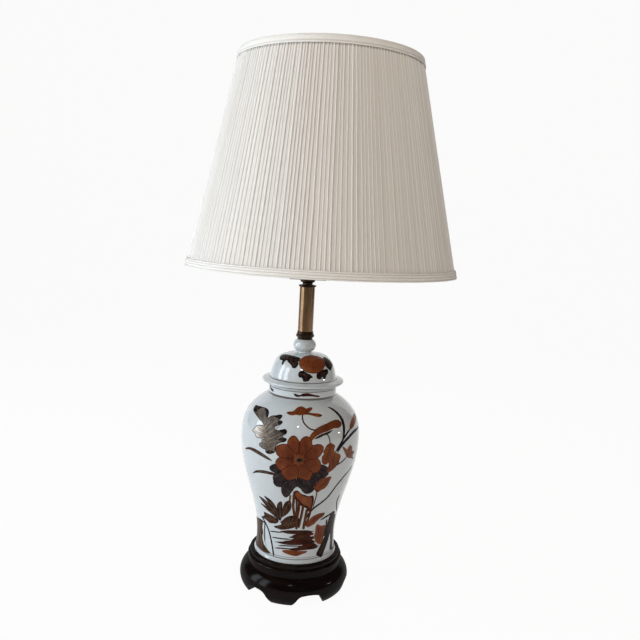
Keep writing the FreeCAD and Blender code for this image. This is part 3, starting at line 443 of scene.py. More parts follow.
# The big flower, its eight petals outlined and veined in rust, with a dark eye ringed in gilt.
flower_z, flower_girth = 259.5, 1.75
petals = ((-7, 298), (-9.5, 294.5), (-11, 289), (-11.5, 284), (-15.5, 283.5), (-20, 280), (-21.8, 275.5),
          (-21.5, 270), (-20.5, 264.5), (-18, 261), (-20, 257.5), (-21.8, 251.5), (-21, 245.5), (-19, 240.5),
          (-16.5, 237.5), (-16, 233), (-14.5, 228.5), (-12, 223.5), (-8.5, 222), (-4.5, 224), (0, 228),
          (4.5, 225.5), (9, 223), (11.8, 226), (12.5, 231), (14, 235.5), (18, 237.5), (20.3, 242),
          (20.8, 249), (19.5, 257), (17.3, 262), (19.5, 267), (21.5, 273), (22, 280), (20, 284),
          (16.5, 285.5), (12.5, 284), (11, 286), (10.8, 290), (9.5, 295), (7, 298), (4, 297.5), (1.5, 294),
          (0, 289.5), (-1.5, 292), (-3, 295.5), (-5, 298))
wash(orange, 0.26, *petals)
outline(rust, 0.31, 1.1, *petals)
vein_gap = 0.62
petal_tips = (((-7, 296), 4.2), ((5.5, 295.5), 4.2), ((20, 279), 4.4), ((19.5, 249), 4.2), ((10, 225), 4.6),
              ((-10, 224), 4.6), ((-20, 250), 4.2), ((-20, 273), 4.2))
for (turn, height), spread in petal_tips:
    away = Vector((turn * flower_girth, height - flower_z))
    beside = Vector((-away.y, away.x)).normalized()
    for k in range(-3, 4):
        points = []
        for along, fan in ((0.22, 0.28), (0.45, 0.75), (0.68, 1.0), (0.90 - 0.025 * k * k, 0.75)):
            place = away * along + beside * (k * spread * fan * vein_gap)
            points.append((place.x / flower_girth, place.y + flower_z))
        stroke(rust, 0.30, 0.8, *points, ends=(0.5, 0.2))
for turn, height in ((0, 289.5), (12.3, 284.5), (17.3, 262), (14, 235.5), (0, 228), (-16.5, 237), (-18, 261),
                     (-11.5, 284)):
    stroke(rust, 0.32, 1.2, (turn, height), (turn * 0.72, flower_z + (height - flower_z) * 0.7),
           (turn * 0.36, flower_z + (height - flower_z) * 0.34), ends=(1, 0.2))
wash(ink, 0.36, (-3, 258), (-1.6, 261.8), (1, 263), (3.4, 261), (3.4, 257.5), (1.5, 255.6), (-1.5, 255.6))
eye_turn, eye_z = 0.2, 259.3
for k in range(12):
    turn = k * math.tau / 12
    stroke(gilt, 0.40, 0.5, (eye_turn + 2.0 * math.cos(turn), eye_z + 2.6 * math.sin(turn)),
           (eye_turn + 2.9 * math.cos(turn), eye_z + 4.0 * math.sin(turn)), ends=(1, 1))

# The veined leaf at the upper left, grey with dark lobes and gilt veins.
leaf_edge = ((-67.5, 328), (-60.5, 329), (-52, 330), (-45.5, 330), (-41, 328.5), (-38, 325), (-36.5, 318),
             (-32.5, 322.5), (-28, 324), (-24, 326), (-21, 325.5), (-21.5, 321.5), (-23.5, 318.5),
             (-19.5, 318), (-19, 315), (-21, 312.5), (-25, 309.5), (-25.5, 305.5), (-22, 303.5), (-18, 305),
             (-15, 307), (-13, 304.5), (-13.3, 300.5), (-16.5, 296.5), (-15.5, 294), (-12.5, 292),
             (-13.5, 288), (-17, 286), (-20.5, 282.5), (-22, 278.5), (-22.5, 273), (-22.5, 269), (-25, 265.5),
             (-28, 263.5), (-31.5, 264), (-32.5, 267), (-32.5, 269.5), (-36, 270), (-39.7, 273),
             (-39.7, 276.5), (-37, 280), (-37.5, 283.5), (-34.5, 285.5), (-34.5, 288), (-38.5, 286),
             (-43.5, 285), (-46, 287.5), (-47, 290.5), (-51.5, 293), (-50, 296), (-48.5, 299.5),
             (-46.5, 303.5), (-42, 305.5), (-38, 307), (-40, 310), (-45, 313), (-50, 316), (-57, 319),
             (-65, 322.5))
wash(dusty, 0.20, *leaf_edge)
outline(ink, 0.265, 1.0, *leaf_edge)
wash(ink, 0.27, (-67.5, 328), (-60.5, 329), (-53, 329.5), (-56, 325), (-57, 321), (-62, 321.5), (-66, 323.5))
wash(ink, 0.27, (-47, 329.5), (-41, 328.3), (-38, 324.5), (-37.5, 319), (-40.5, 322), (-43, 326))
wash(ink, 0.27, (-31, 323), (-28, 324), (-24, 326), (-21, 325.5), (-22.5, 321), (-25, 321.5), (-28, 322))
wash(ink, 0.27, (-22.5, 317.5), (-19.5, 318), (-19.2, 315), (-22, 313), (-23.5, 315))
wash(ink, 0.27, (-20, 304.5), (-15, 306.5), (-13, 304), (-13.5, 300.5), (-17, 300.5))
wash(ink, 0.27, (-17.5, 293), (-13, 292), (-13.5, 288.5), (-17, 287), (-20, 289))
wash(ink, 0.27, (-31.5, 265), (-28, 264), (-24, 267.5), (-25.5, 270), (-29, 269))
spine = ((-26.5, 266), (-29, 276), (-31.5, 287), (-35, 299), (-40, 309), (-48, 318), (-57, 325))
stroke(gilt, 0.33, 0.7, *spine)
for points in (((-35, 299), (-30, 309), (-25, 320)), ((-33, 294), (-27, 302), (-22, 314)),
               ((-31.5, 287), (-24, 293), (-16, 303)), ((-30, 281), (-23, 286), (-16, 290)),
               ((-28, 273), (-24, 276), (-22.5, 280)), ((-34, 297), (-40, 299), (-46, 300)),
               ((-33, 292), (-40, 292), (-49, 293)), ((-31, 284), (-36, 287), (-42, 287)),
               ((-29, 276), (-34, 277), (-38.5, 275)), ((-41, 311), (-44, 320), (-44, 327)),
               ((-44, 314), (-51, 320), (-60, 326)), ((-36, 302), (-34, 313), (-33, 320))):
    stroke(gilt, 0.33, 0.55, *points)
    aside = [(turn + 1.5, height - 1.6) for turn, height in points]
    stroke(ink, 0.31, 0.55, *aside)
    aside = [(turn - 1.3, height + 1.7) for turn, height in points]
    stroke(ink, 0.31, 0.45, *aside)

# Two blades of grass at the left.
wash(brown, 0.20, (-64, 255.5), (-58.5, 261), (-51.5, 264.3), (-43.5, 264.3), (-36.5, 261.5), (-31, 258),
     (-27, 254.5), (-25.5, 252), (-28.5, 252.3), (-33.5, 254), (-40, 256.5), (-47.5, 258.5), (-54, 259),
     (-59.5, 256.5))
stroke(dusty, 0.27, 1.2, (-50, 261), (-42, 260), (-35, 257.5), (-29, 254))
wash(brown, 0.20, (-53.5, 217), (-48, 224.5), (-42.5, 228.5), (-36.5, 231), (-30, 232), (-22, 231),
     (-20, 227.5), (-26, 226.7), (-32, 226.5), (-39, 225), (-45.5, 222.5), (-51.5, 218))
stroke(dusty, 0.27, 0.9, (-45, 225.5), (-37, 228.3), (-29, 229.5))

# The small flower seen from the side at the top, its stem, and the long bud.
wash(orange, 0.22, (-17, 330), (-14.5, 332), (-10.5, 332.8), (-8, 335), (-5.5, 338), (-1.5, 339.8),
     (2.5, 339.3), (6, 337.3), (10, 338.7), (13.5, 338.7), (14, 337), (12, 335), (9.5, 332.5), (13, 331.6),
     (17, 331.2), (21.5, 330.3), (24, 328), (21, 326), (17, 326.5), (13, 328), (8.5, 329.2), (5, 329.3),
     (1.5, 328.8), (-1.5, 328), (-6, 328.6), (-10, 327.3), (-13.5, 327.8))
for points in (((-8, 330), (-3, 333), (-2.5, 338)), ((-1, 330), (2, 334), (1, 338.5)),
               ((4, 330), (6, 333), (9.5, 337)), ((-15.5, 330), (-9, 330.5), (-1, 330.5)),
               ((22, 328.5), (14, 329.8), (5, 331)), ((-5, 330.5), (-5.5, 334), (-5, 337))):
    stroke(rust, 0.29, 0.6, *points)
stroke(ink, 0.27, 1.2, (-17, 330), (-13, 330.8), ends=(0.3, 0.1))
stroke(ink, 0.27, 1.4, (23.8, 328), (20, 328.6), ends=(0.4, 0.1))
stroke(rust, 0.21, 2.2, (1.5, 329), (1.5, 324.5), (3, 318.5), (6, 313.5), (9.5, 309.5), (14, 307.5),
       ends=(1, 0.7))
bud = ((8, 294), (10, 301.5), (13, 306.5), (17, 311), (22, 314), (27.5, 316.3), (33.5, 318.7), (39, 319.5),
       (43, 318), (44.7, 314), (43.5, 310.3), (40, 308), (35.5, 308.3), (31.5, 307.3), (27, 305), (23, 303.8),
       (19, 301.3), (15.5, 298.8), (12.5, 294), (10.5, 291))
wash(orange, 0.21, *bud)
for k in range(15):
    base = 14 + k * 1.95
    ridge = 309 + 9 * math.sin(k / 14 * 1.5)
    stroke(brown if k % 2 else rust, 0.31, 0.9, (base, ridge + 1.0), (base + 1.1, ridge - 4),
           (base + 0.4, ridge - 8.5), ends=(0.5, 0.3))
stroke(rust, 0.30, 0.8, *bud[1:13])
wash(ink, 0.27, (13.5, 294), (16, 298), (20, 301), (24, 303), (28, 304.5), (32, 306), (30, 303), (26, 300),
     (22, 298.5), (18, 295.5))
for k in range(6):
    stroke(gilt, 0.33, 0.8, (16.5 + k * 2.4, 297.5 + k * 1.3), (17.6 + k * 2.4, 296.5 + k * 1.3), ends=(1, 1))
stroke(brown, 0.2, 1.8, (25.5, 301.5), (27.5, 296), (28.5, 289), (29, 284), ends=(0.6, 0.8))

# Orange leaves and small flowers at the right.
wash(orange, 0.21, (29, 286), (32.2, 283.5), (34.3, 279.5), (33.5, 274.5), (34, 269.5), (32.2, 264),
     (30.5, 259.3), (28.5, 253.5), (26.3, 250), (24, 250), (22, 253), (21, 258.5), (21.2, 264.5), (22.8, 268),
     (22, 272.5), (23.5, 277.5), (25, 282.5), (27, 285))
stroke(rust, 0.29, 0.8, (29, 285), (28.5, 277), (27, 268), (25, 256))
for k in range(5):
    for side in (-1, 1):
        stroke(rust, 0.28, 0.5, (25.6 + k * 0.7, 259 + k * 5), (25.6 + k * 0.7 + side * 3.6, 262 + k * 5))
wash(orange, 0.23, (34, 270.5), (36.5, 267), (39.8, 265), (42, 260), (41.3, 255), (40.7, 250), (39, 245.5),
     (36.8, 241.5), (34, 238), (31.5, 235.5), (29, 235), (27.8, 242), (29, 248.5), (28, 254.5), (30.2, 259.8),
     (32, 265))
for points in (((33, 240), (34, 252), (34, 266)), ((32, 238), (30, 246), (29.5, 253)),
               ((34, 246), (38, 252), (40.5, 259)), ((33.5, 240), (37, 244), (39.5, 249)),
               ((34, 252), (31.5, 258), (32, 264))):
    stroke(rust, 0.30, 0.8, *points)
wash(orange, 0.21, (43, 276.5), (47, 273), (50.3, 268.5), (51.8, 271.5), (55, 274.5), (59, 270), (60, 262.5),
     (65.5, 258.5), (63.5, 254.5), (62.5, 251), (67.5, 244.5), (59.5, 249), (53, 253), (49.3, 258.5),
     (47, 264.5), (45, 270))
stroke(ink, 0.27, 0.7, (52, 255), (52.5, 263), (54.5, 272))
stroke(ink, 0.27, 0.6, (53, 256), (58, 259), (64, 257.5))
stroke(ink, 0.2, 2.4, (51, 256), (45.5, 250), (40.5, 247), (36, 244.3))

# Reeds at the right, and the long stems that lean out of the water.
wash(ink, 0.22, (36, 338), (41.5, 336), (46.5, 329.5), (49.3, 321), (49.3, 311.5), (48, 302), (46.3, 292.5),
     (44, 284.5), (39.5, 276.5), (35.4, 268.8), (34.6, 270), (37.7, 277.5), (41.8, 284.8), (43.6, 292.8),
     (44.8, 302.3), (45.6, 311.5), (45.4, 320.5), (43, 328.5), (40, 333.5))
wash(orange, 0.22, (82, 317), (79.5, 311), (71.5, 306.5), (63, 302), (56.5, 300.5), (56.5, 305.5), (62, 312),
     (71, 316.5))
stroke(ink, 0.23, 3.2, (57.5, 302.5), (51, 297), (45.5, 290), (40.5, 281.5), (37.3, 274.5), (34.8, 269.3))
stroke(ink, 0.21, 5.0, (80, 295), (62.5, 294), (51.5, 288), (43.5, 280.5), (39.5, 274), (37.2, 268),
       ends=(0.4, 0.3))
stroke(ink, 0.21, 3.2, (68, 230.5), (56, 221), (50.5, 214.5), (45, 206), (40, 194.5), (35, 184.5),
       (28, 176.5), (20.5, 168), (15.5, 158), (12.5, 148), ends=(0.5, 0.6))
stroke(ink, 0.21, 3.0, (57.5, 181), (56.5, 170.5), (60.5, 158.5), (68.5, 145))
wash(orange, 0.21, (34.3, 226), (33.3, 218.5), (32, 211.5), (29.3, 205.5), (25, 202.5), (21.5, 199),
     (18.8, 202), (16, 209.5), (17.2, 215), (20, 220), (23.3, 224), (28, 226))
stroke(rust, 0.29, 0.9, (31.5, 223.5), (27, 215), (21.5, 206))
for k in range(4):
    stroke(rust, 0.28, 0.6, (23.5 + k * 2, 209.5 + k * 3.6), (27.5 + k * 1.6, 208.5 + k * 4))
    stroke(rust, 0.28, 0.6, (23.5 + k * 2, 209.5 + k * 3.6), (20.5 + k * 1.8, 212.5 + k * 3.3))
stroke(rust, 0.21, 1.9, (20.5, 204), (20.8, 191), (20, 180), (19.3, 169), ends=(1, 0.4))

# Round-lobed slate leaves under the big flower, outlined and veined in ink. Each has its own lift,
# because washes that overlap must not lie in one plane.
for lift, *lobes in ((0.2008, (-16, 248), (-20.5, 248.5), (-24.5, 246), (-28, 241), (-27.8, 236),
                      (-24.5, 232.7), (-20, 233), (-14, 238)),
                     (0.2022, (-14, 236), (-19, 236), (-23, 230), (-25.3, 222.5), (-24.3, 217),
                      (-21.5, 213.5), (-17.5, 215), (-10, 222), (-9, 230)),
                     (0.1990, (-10, 228), (-17, 226), (-23.5, 220.5), (-25, 213.5), (-22.8, 208),
                      (-18.5, 207), (-13, 211), (-7, 220)),
                     (0.2055, (-5, 226), (-11, 221), (-15.8, 213), (-16.8, 204), (-16.5, 196.5), (-14.8, 191),
                      (-12.3, 188.8), (-9, 193), (-5.5, 202), (-2.8, 209), (0.5, 213), (2, 222)),
                     (0.2020, (0, 229), (-1.5, 218), (0.5, 211), (3.3, 207.5), (5.8, 201.5), (9.5, 198),
                      (13.8, 199.5), (16.8, 204.5), (18, 210), (17, 218), (12, 226)),
                     (0.1990, (10, 233), (12.5, 224), (15.5, 215.5), (18.8, 214.5), (22.3, 218), (24, 224),
                      (22, 233), (17, 240)),
                     (0.2025, (15, 243), (17, 232), (21.5, 225), (26, 226), (29.5, 231), (29.8, 237),
                      (27.5, 244.5), (23, 249.5), (19, 250))):
    wash(slate, lift, *lobes)
    outline(ink, 0.21, 1.1, *lobes)
for points in (((-16, 244), (-20, 243), (-24.5, 238.5)), ((-17, 239), (-20, 238), (-23, 236)),
               ((-13, 232), (-17, 228), (-21, 221)), ((-11, 228), (-15, 221), (-19, 217)),
               ((-12, 223), (-17, 217), (-21, 211)), ((-6, 222), (-10, 212), (-13, 198)),
               ((-5, 220), (-7, 211), (-9, 202)), ((-8, 221), (-13, 211), (-14.5, 203)),
               ((3, 226), (5, 215), (9, 203)), ((6, 226), (9, 216), (13, 205)),
               ((2, 222), (3, 216), (5, 210)), ((9, 226), (13, 218), (15.5, 210)),
               ((14, 236), (18, 227), (20.5, 220)), ((17, 238), (22, 232), (26, 230)),
               ((18, 243), (23, 240), (27, 238))):
    stroke(ink, 0.215, 0.9, *points)

# The orange root and its stems, down into the water.
wash(rust, 0.21, (-4.3, 200), (-1, 203.7), (1.5, 202), (4, 198), (8.5, 195), (12.5, 192.5), (17.3, 193.5),
     (18.9, 183.5), (18.6, 174), (18, 165), (15.5, 161.5), (12, 168), (9, 171), (5, 173.5), (2.5, 179),
     (0.5, 183), (-2, 186), (-3.8, 191))
wash(orange, 0.24, (-2.5, 198.5), (0.5, 200.5), (4.5, 195.5), (9, 192), (15.5, 190), (16.8, 180),
     (15.8, 168.5), (12.5, 173), (7.5, 176.5), (3.5, 184), (0, 189))
for points, width in ((((-7.3, 194), (-8, 183), (-8.5, 171.5)), 1.7),
                      (((-3.7, 195), (-3.7, 183.5), (-4, 171.5), (-2, 152.5)), 2.4),
                      (((-0.5, 187), (0, 170), (0, 151.5)), 1.9),
                      (((2.5, 181), (2.6, 166), (1.2, 148), (1, 127.5)), 2.2),
                      (((7.5, 175), (6.2, 154), (3.7, 131)), 2.4),
                      (((12.5, 167), (11.6, 148), (10.4, 128)), 2.6),
                      (((17, 167), (16.4, 153.5), (13.2, 134)), 2.0)):
    stroke(brown, 0.22, width * 1.8, *points, ends=(1, 0.8))
    stroke(orange, 0.28, width * 0.5, *[(turn + 0.4, height) for turn, height in points])

# Brown leaves at the left, just over the water, each again with its own lift, and ink at some tips.
for lift, *leaf in ((0.2227, (-50.5, 176.5), (-44, 175), (-38.5, 172), (-31, 165.5), (-26, 157), (-22, 148),
                     (-20.5, 141), (-25.5, 146.5), (-31, 152.5), (-38, 160), (-44, 167), (-47.5, 172)),
                    (0.2222, (-40.5, 181), (-34, 179), (-29, 174), (-25.5, 166), (-24, 157.5), (-22, 149),
                     (-21, 142), (-24.5, 150), (-28.5, 158), (-34, 168)),
                    (0.2212, (-49.5, 162.5), (-43.5, 162), (-36, 159.5), (-29.5, 154.5), (-25, 149),
                     (-21.5, 142), (-27, 145.5), (-33, 150.5), (-41, 156)),
                    (0.2184, (-24.7, 159.5), (-23.3, 170.5), (-20.5, 177), (-17.7, 178.5), (-17, 171),
                     (-18, 160), (-18.7, 150), (-20, 143), (-22.5, 150)),
                    (0.2167, (-18.5, 148), (-17.5, 158), (-16.5, 166.5), (-13.5, 177.5), (-9, 182.5),
                     (-6.7, 180), (-6.5, 171), (-8, 163.5), (-12, 155.5)),
                    (0.2190, (-54.5, 135), (-47, 140.5), (-46, 147.5), (-37.5, 147.3), (-30.5, 145.8),
                     (-23.5, 141), (-26.5, 134.5), (-32.5, 132.3), (-39, 131.3), (-45, 134.5)),
                    (0.2160, (-17.5, 142), (-13, 148.5), (-7, 153), (0, 153.5), (3.5, 148), (3, 139),
                     (0, 133), (-7, 128.8), (-13, 126.3), (-20, 124.3), (-24.5, 124.7), (-31, 126.3),
                     (-24, 130.7), (-19, 134.2), (-20.5, 138.5))):
    wash(brown, lift, *leaf)
    outline(ink, 0.26, 0.8, *leaf)
for points in (((-47, 174.5), (-35, 165), (-23, 146)), ((-38, 179), (-29, 166), (-22, 146)),
               ((-46, 161.5), (-34, 154), (-22, 143)), ((-19, 176), (-20.5, 161), (-20, 146)),
               ((-8.5, 180), (-13, 165), (-18, 150)), ((-50, 136.5), (-38, 139), (-25, 139.5)),
               ((-27, 127), (-14, 134), (1, 144)), ((-11, 129.5), (-7, 139), (-3, 150)),
               ((-15, 136), (-9, 144), (-8, 150))):
    stroke(gilt, 0.30, 0.3, *points)
    stroke(ink, 0.28, 0.9, *[(turn + 1.2, height + 1.2) for turn, height in points])
for points in (((-50.5, 176.5), (-46, 173.5)), ((-40.5, 181), (-36, 177)), ((-49.5, 162.5), (-45, 160.5)),
               ((-54.5, 135), (-49, 136.5)), ((-47, 148), (-43, 145.5)), ((-31, 126.3), (-26, 127))):
    stroke(ink, 0.29, 2.6, *points, ends=(0.2, 0.5))

# Water: long level strokes that run together in the middle, with a thin orange wash under them.
waves = ((-22, 24, 122, 7.0), (-4, 27, 117.5, 6.0), (-9, 22, 113.5, 5.5), (-6, 29, 109.5, 6.0),
         (-17, 28, 104.5, 6.0), (-28, 31, 100.2, 4.6), (4, 33, 96.2, 5.0), (-10, 36, 91.5, 6.0))
for k, (left, right, height, width) in enumerate(waves):
    crown = left * 0.4 + right * 0.6
    stroke(rust if k in (1, 4, 6) else brown, 0.20 + 0.004 * k, width, (left, height - 1.6),
           (crown, height + 0.6), (right, height - 0.6), ends=(0.05, 0.1))
for points, width in ((((-38.5, 115), (-29.5, 117), (-17, 119.5)), 2.0),
                      (((-35.5, 105), (-22, 107), (-4, 108.5)), 2.2),
                      (((-24.5, 93), (-12.5, 95.5), (11, 97)), 2.0), (((-30, 87.5), (-17, 90), (1, 91)), 2.2),
                      (((-30.5, 98), (-17.5, 101.3), (-6, 102)), 1.6),
                      (((8, 120), (18, 121.5), (27, 123)), 1.6), (((14, 111), (23, 112), (31, 113)), 1.5),
                      (((12, 101), (24, 102), (33, 103)), 1.7), (((14, 93), (26, 94), (37, 93)), 1.7)):
    stroke(ink, 0.26, width, *points, ends=(0.15, 0.1))
for points in (((-14, 120), (-2, 123.5), (10, 124)), ((-4, 116), (6, 118), (18, 117)),
               ((0, 109), (10, 110.5), (22, 108)), ((-2, 104), (12, 105), (24, 103.5)),
               ((4, 99), (18, 99.5), (30, 96)), ((6, 91.5), (18, 91.5), (32, 91))):
    stroke(rust, 0.28, 0.9, *points)
wash(orange, 0.19, (-18, 86), (-10, 88.5), (5, 88), (18, 87), (16, 84), (9.5, 81.5), (3.5, 79), (-3, 79.3),
     (-9.5, 81), (-15.5, 83))
stroke(orange, 0.27, 1.8, (-14, 85), (-2, 84), (13, 85.5))
stroke(orange, 0.27, 1.2, (-8, 81.8), (0, 81), (8, 82.5))

# The orange rock and leaf at the right of the water, and dark posts on both sides.
wash(orange, 0.22, (28, 130.5), (30, 134.7), (37, 130), (44, 128.7), (48.5, 123), (45, 118.5), (47.3, 111.5),
     (44.7, 107), (44, 100), (41, 95), (35.5, 95.8), (30, 103.5), (27.8, 113), (28.3, 121.5))
for points in (((31, 130), (34, 118), (33, 104)), ((37, 128), (39, 117), (37, 100)),
               ((43, 126), (43.5, 116), (42, 102))):
    stroke(rust, 0.28, 1.3, *points)
wash(orange, 0.21, (14.3, 135.5), (16, 143), (19.5, 150), (24, 154), (30, 156), (38, 155), (37, 149),
     (32.5, 145.5), (28, 141), (25, 136.5), (20, 133), (15.5, 131.2))
stroke(rust, 0.28, 1.2, (17, 136), (23, 145), (33, 152.5))
for points, width in ((((57, 150), (54.5, 135), (54.8, 118.5), (52.3, 102.5), (45, 88.5), (37, 73.5)), 15.0),
                      (((62, 141), (66, 113), (70, 91), (66.5, 73.5)), 14.0),
                      (((45, 139), (47, 124.5), (46, 107)), 3.6),
                      (((-53.5, 136), (-47, 128), (-41.5, 116.5), (-36, 97), (-30.5, 73.5)), 3.0),
                      (((-47, 128), (-50, 112.5), (-49.5, 91)), 2.6),
                      (((-84, 119), (-71, 123.5), (-59, 127), (-47, 126.5)), 3.0)):
    stroke(ink, 0.25, width, *points, ends=(0.6, 0.8))
stroke(ink, 0.21, 3.6, (57, 149.5), (45.5, 146.5), (33, 142))
for points in (((56, 143), (53.5, 125), (50, 104)), ((61, 137), (63, 118), (65, 98)),
               ((49, 95), (43, 84), (38.5, 76))):
    stroke(brown, 0.27, 4.0, *points)
stroke(rust, 0.29, 2.2, (58, 142), (58.5, 128), (60, 112))
rock = ((-85, 120), (-74, 123), (-61.5, 125.5), (-53, 124), (-56, 115.5), (-54.5, 107.5), (-58, 94.5),
        (-53, 86), (-47, 82), (-36, 75.5), (-51.5, 72.7), (-65.5, 72.5), (-88, 72.5), (-93, 84), (-92, 104))
wash(brown, 0.20, *rock)
stroke(ink, 0.24, 1.6, *rock[3:10])
for k in range(7):
    stroke(ink if k % 2 else gilt, 0.27, 0.8, (-86 + k * 5, 117), (-84 + k * 5.2, 100), (-82 + k * 6.5, 80))

# Small bits under the lid, and the lid's bloom with its dark leaves.
wash(ink, 0.20, (-13.5, 357.5), (-9.5, 357), (-4, 355.7), (1, 358), (-1, 354), (-6.5, 352.3), (-12, 353.5))
wash(rust, 0.21, (-1, 357.5), (3, 359), (10.5, 359.3), (18, 357), (29, 354.3), (28.5, 352), (18, 353.5),
     (7, 354), (0, 353.5))
stroke(ink, 0.26, 0.9, (2, 356.5), (12, 356.7), (24, 354.5))
stroke(ink, 0.20, 3.2, (-69.5, 362), (-67.5, 356.5), (-56, 353.5))
stroke(rust, 0.25, 1.2, (-66, 358.5), (-61, 356.5), (-56, 356.5))
bloom = ((-10, 407), (-9, 411.5), (-2, 415), (14, 416.4), (38, 416.4), (52, 414.5), (55.5, 410.5),
         (50.5, 406), (43.5, 400), (35, 395.5), (26, 392.5), (16.5, 392), (7, 393.5), (-0.5, 397),
         (-6.5, 401.5))
wash(orange, 0.22, *bloom)
stroke(rust, 0.29, 0.9, bloom[0], *bloom[:5:-1], ends=(1, 1))
for k in range(9):
    turn = -4 + k * 6.5
    drop = 4.5 * math.sin(math.pi * (k + 0.5) / 9)
    stroke(rust, 0.28, 0.6, (turn * 0.8 + 6, 412), (turn * 0.9 + 4, 406 - drop * 0.6),
           (turn, 403 - drop * 1.6))
wash(ink, 0.20, (-67.5, 407.5), (-76, 410), (-80, 413), (-66, 414.5), (-40, 415), (-21.5, 414.5),
     (-11, 413.5), (-9.5, 411), (-12, 408), (-10.5, 405.5), (-12.5, 401.5), (-15.5, 398.7), (-21.5, 398.7),
     (-24.5, 402), (-29.5, 404.5), (-35.5, 406.5), (-40, 408.5), (-44, 406.5), (-44.5, 402), (-47.5, 400.7),
     (-50.5, 405), (-53, 407), (-60, 406.5))
wash(ink, 0.21, (-8.7, 388.5), (-7.5, 393.5), (-1, 396), (3, 394), (8.5, 391.5), (13, 389.7), (17, 385),
     (13, 384), (10, 380), (4.5, 378.3), (0.5, 379), (-1.5, 384), (-6.5, 385))
wash(ink, 0.21, (28, 393), (39, 396.3), (50.5, 396.5), (51, 391), (44.5, 386), (42, 382), (38, 381.3),
     (35.7, 385.5), (33, 382.5), (27.5, 382), (24, 385), (24.5, 390))
wash(ink, 0.20, (60, 413), (74, 412), (76, 409), (78.5, 405), (78, 399.5), (66.5, 396), (59.5, 393),
     (53, 397), (48.5, 401.5), (51.5, 406.5), (56, 410))
for points in (((-60, 409.5), (-42, 411), (-25, 410)), ((-30, 408.5), (-23, 406), (-18, 402)),
               ((-6, 391), (2, 389), (9, 386)), ((2, 392), (4, 386), (6, 381)),
               ((30, 390), (38, 391), (46, 392)), ((33, 387), (40, 388), (43, 385.5)),
               ((58, 408), (66, 405), (72, 401)), ((54, 402), (60, 400), (66, 399))):
    stroke(brown, 0.28, 1.5, *points)


def mottled(name, scale, detail, first, second, dull, bump, spread=None, ragged=0.6, **constants):
    """A finish whose colour, roughness and relief follow one cloudy pattern. Dull says how much the
    roughness gains from it and its least, bump the relief's depth and strength, and spread where in
    the pattern the first colour ends and the second begins."""
    finish, shader, wire = new_finish(name, **constants)
    pattern = wire.place().clouds(scale, detail, ragged)
    share = pattern.between(*spread) if spread else pattern
    wire.plug(shader.inputs["Base Color"], share.mix(first, second))
    wire.plug(shader.inputs["Roughness"], pattern * dull[0] + dull[1])
    if bump:
        relief(wire, shader, pattern, *bump)
    return finish


# The ridges that the brush leaves: their depth, and how strongly they show.
brushed = (0.0002, 0.4)
enamel, shader, wire = new_finish("orange_enamel", Specular_IOR_Level=0.12)
where = wire.place()
flow = where.clouds(60.0, 5.0, 0.6, (1.0, 1.0, 0.35))
thin = where.clouds(24.0, 2.0, 0.5)
deep = flow.between(0.3, 0.7).mix((0.215, 0.056, 0.016), (0.115, 0.025, 0.008))
wire.plug(shader.inputs["Base Color"], (thin.between(0.45, 0.75) * 0.45).mix(deep, (0.27, 0.11, 0.045)))
wire.plug(shader.inputs["Roughness"], flow * 0.15 + 0.2)
relief(wire, shader, flow, *brushed)
fire("painted_orange", orange, enamel)

enamel = mottled("rust_enamel", 90.0, 4.0, (0.080, 0.016, 0.008), (0.036, 0.008, 0.005), (0.15, 0.20),
                 brushed, (0.3, 0.7), Specular_IOR_Level=0.04)
fire("painted_rust", rust, enamel)
enamel = mottled("ink_enamel", 110.0, 4.0, (0.007, 0.005, 0.006), (0.032, 0.022, 0.022), (0.15, 0.20),
                 brushed, (0.35, 0.75), Specular_IOR_Level=0.04)
fire("painted_ink", ink, enamel)
enamel = mottled("slate_enamel", 100.0, 4.0, (0.014, 0.010, 0.012), (0.048, 0.034, 0.036), (0.15, 0.22),
                 brushed, (0.3, 0.7), Specular_IOR_Level=0.04)
fire("painted_slate", slate, enamel)
enamel = mottled("brown_enamel", 100.0, 5.0, (0.024, 0.011, 0.007), (0.075, 0.032, 0.018), (0.15, 0.20),
                 brushed, (0.3, 0.7), Specular_IOR_Level=0.04)
fire("painted_brown", brown, enamel)

# The upper-left leaf's silvery enamel, with a painted reflection of the window as one brighter band on its
# outer side.
enamel, shader, wire = new_finish("silvered_enamel", Metallic=0.25, Specular_IOR_Level=0.2)
where = wire.place()
z = where.along("Z")
flow = where.clouds(75.0, 5.0, 0.6)
from_axis = where.along("X") - lamp_x
outer = (from_axis * from_axis).between(0.0030, 0.0052)
painted_window_reflection = outer * z.within(0.268, 0.290, 0.300, 0.312)
silver = flow.between(0.3, 0.7).mix((0.055, 0.042, 0.036), (0.155, 0.132, 0.115))
wire.plug(shader.inputs["Base Color"], (painted_window_reflection * 0.85).mix(silver, (0.66, 0.60, 0.56)))
wire.plug(shader.inputs["Roughness"], flow * 0.15 + 0.34)
relief(wire, shader, flow, *brushed)
fire("painted_leaf", dusty, enamel)

gilding, shader, wire = new_finish("gilt_lines")
wear = wire.place().clouds(180.0, 4.0, 0.6)
wire.plug(shader.inputs["Base Color"], wear.between(0.35, 0.7).mix((0.28, 0.195, 0.10), (0.13, 0.078, 0.04)))
wire.plug(shader.inputs["Metallic"], 0.7 - wear.between(0.4, 0.7) * 0.5)
wire.plug(shader.inputs["Roughness"], wear * 0.25 + 0.25)
relief(wire, shader, wear, 0.0001, 0.4)
fire("painted_gilt", gilt, gilding)


# ---- Brass neck ---------------------------------------------------------------------------------
# A drawn brass tube gone brown, between a moulded ring on the ball and a check ring with a flared
# cup above it. All of it, and the harp's saddle on top, is clamped by the lamp pipe.

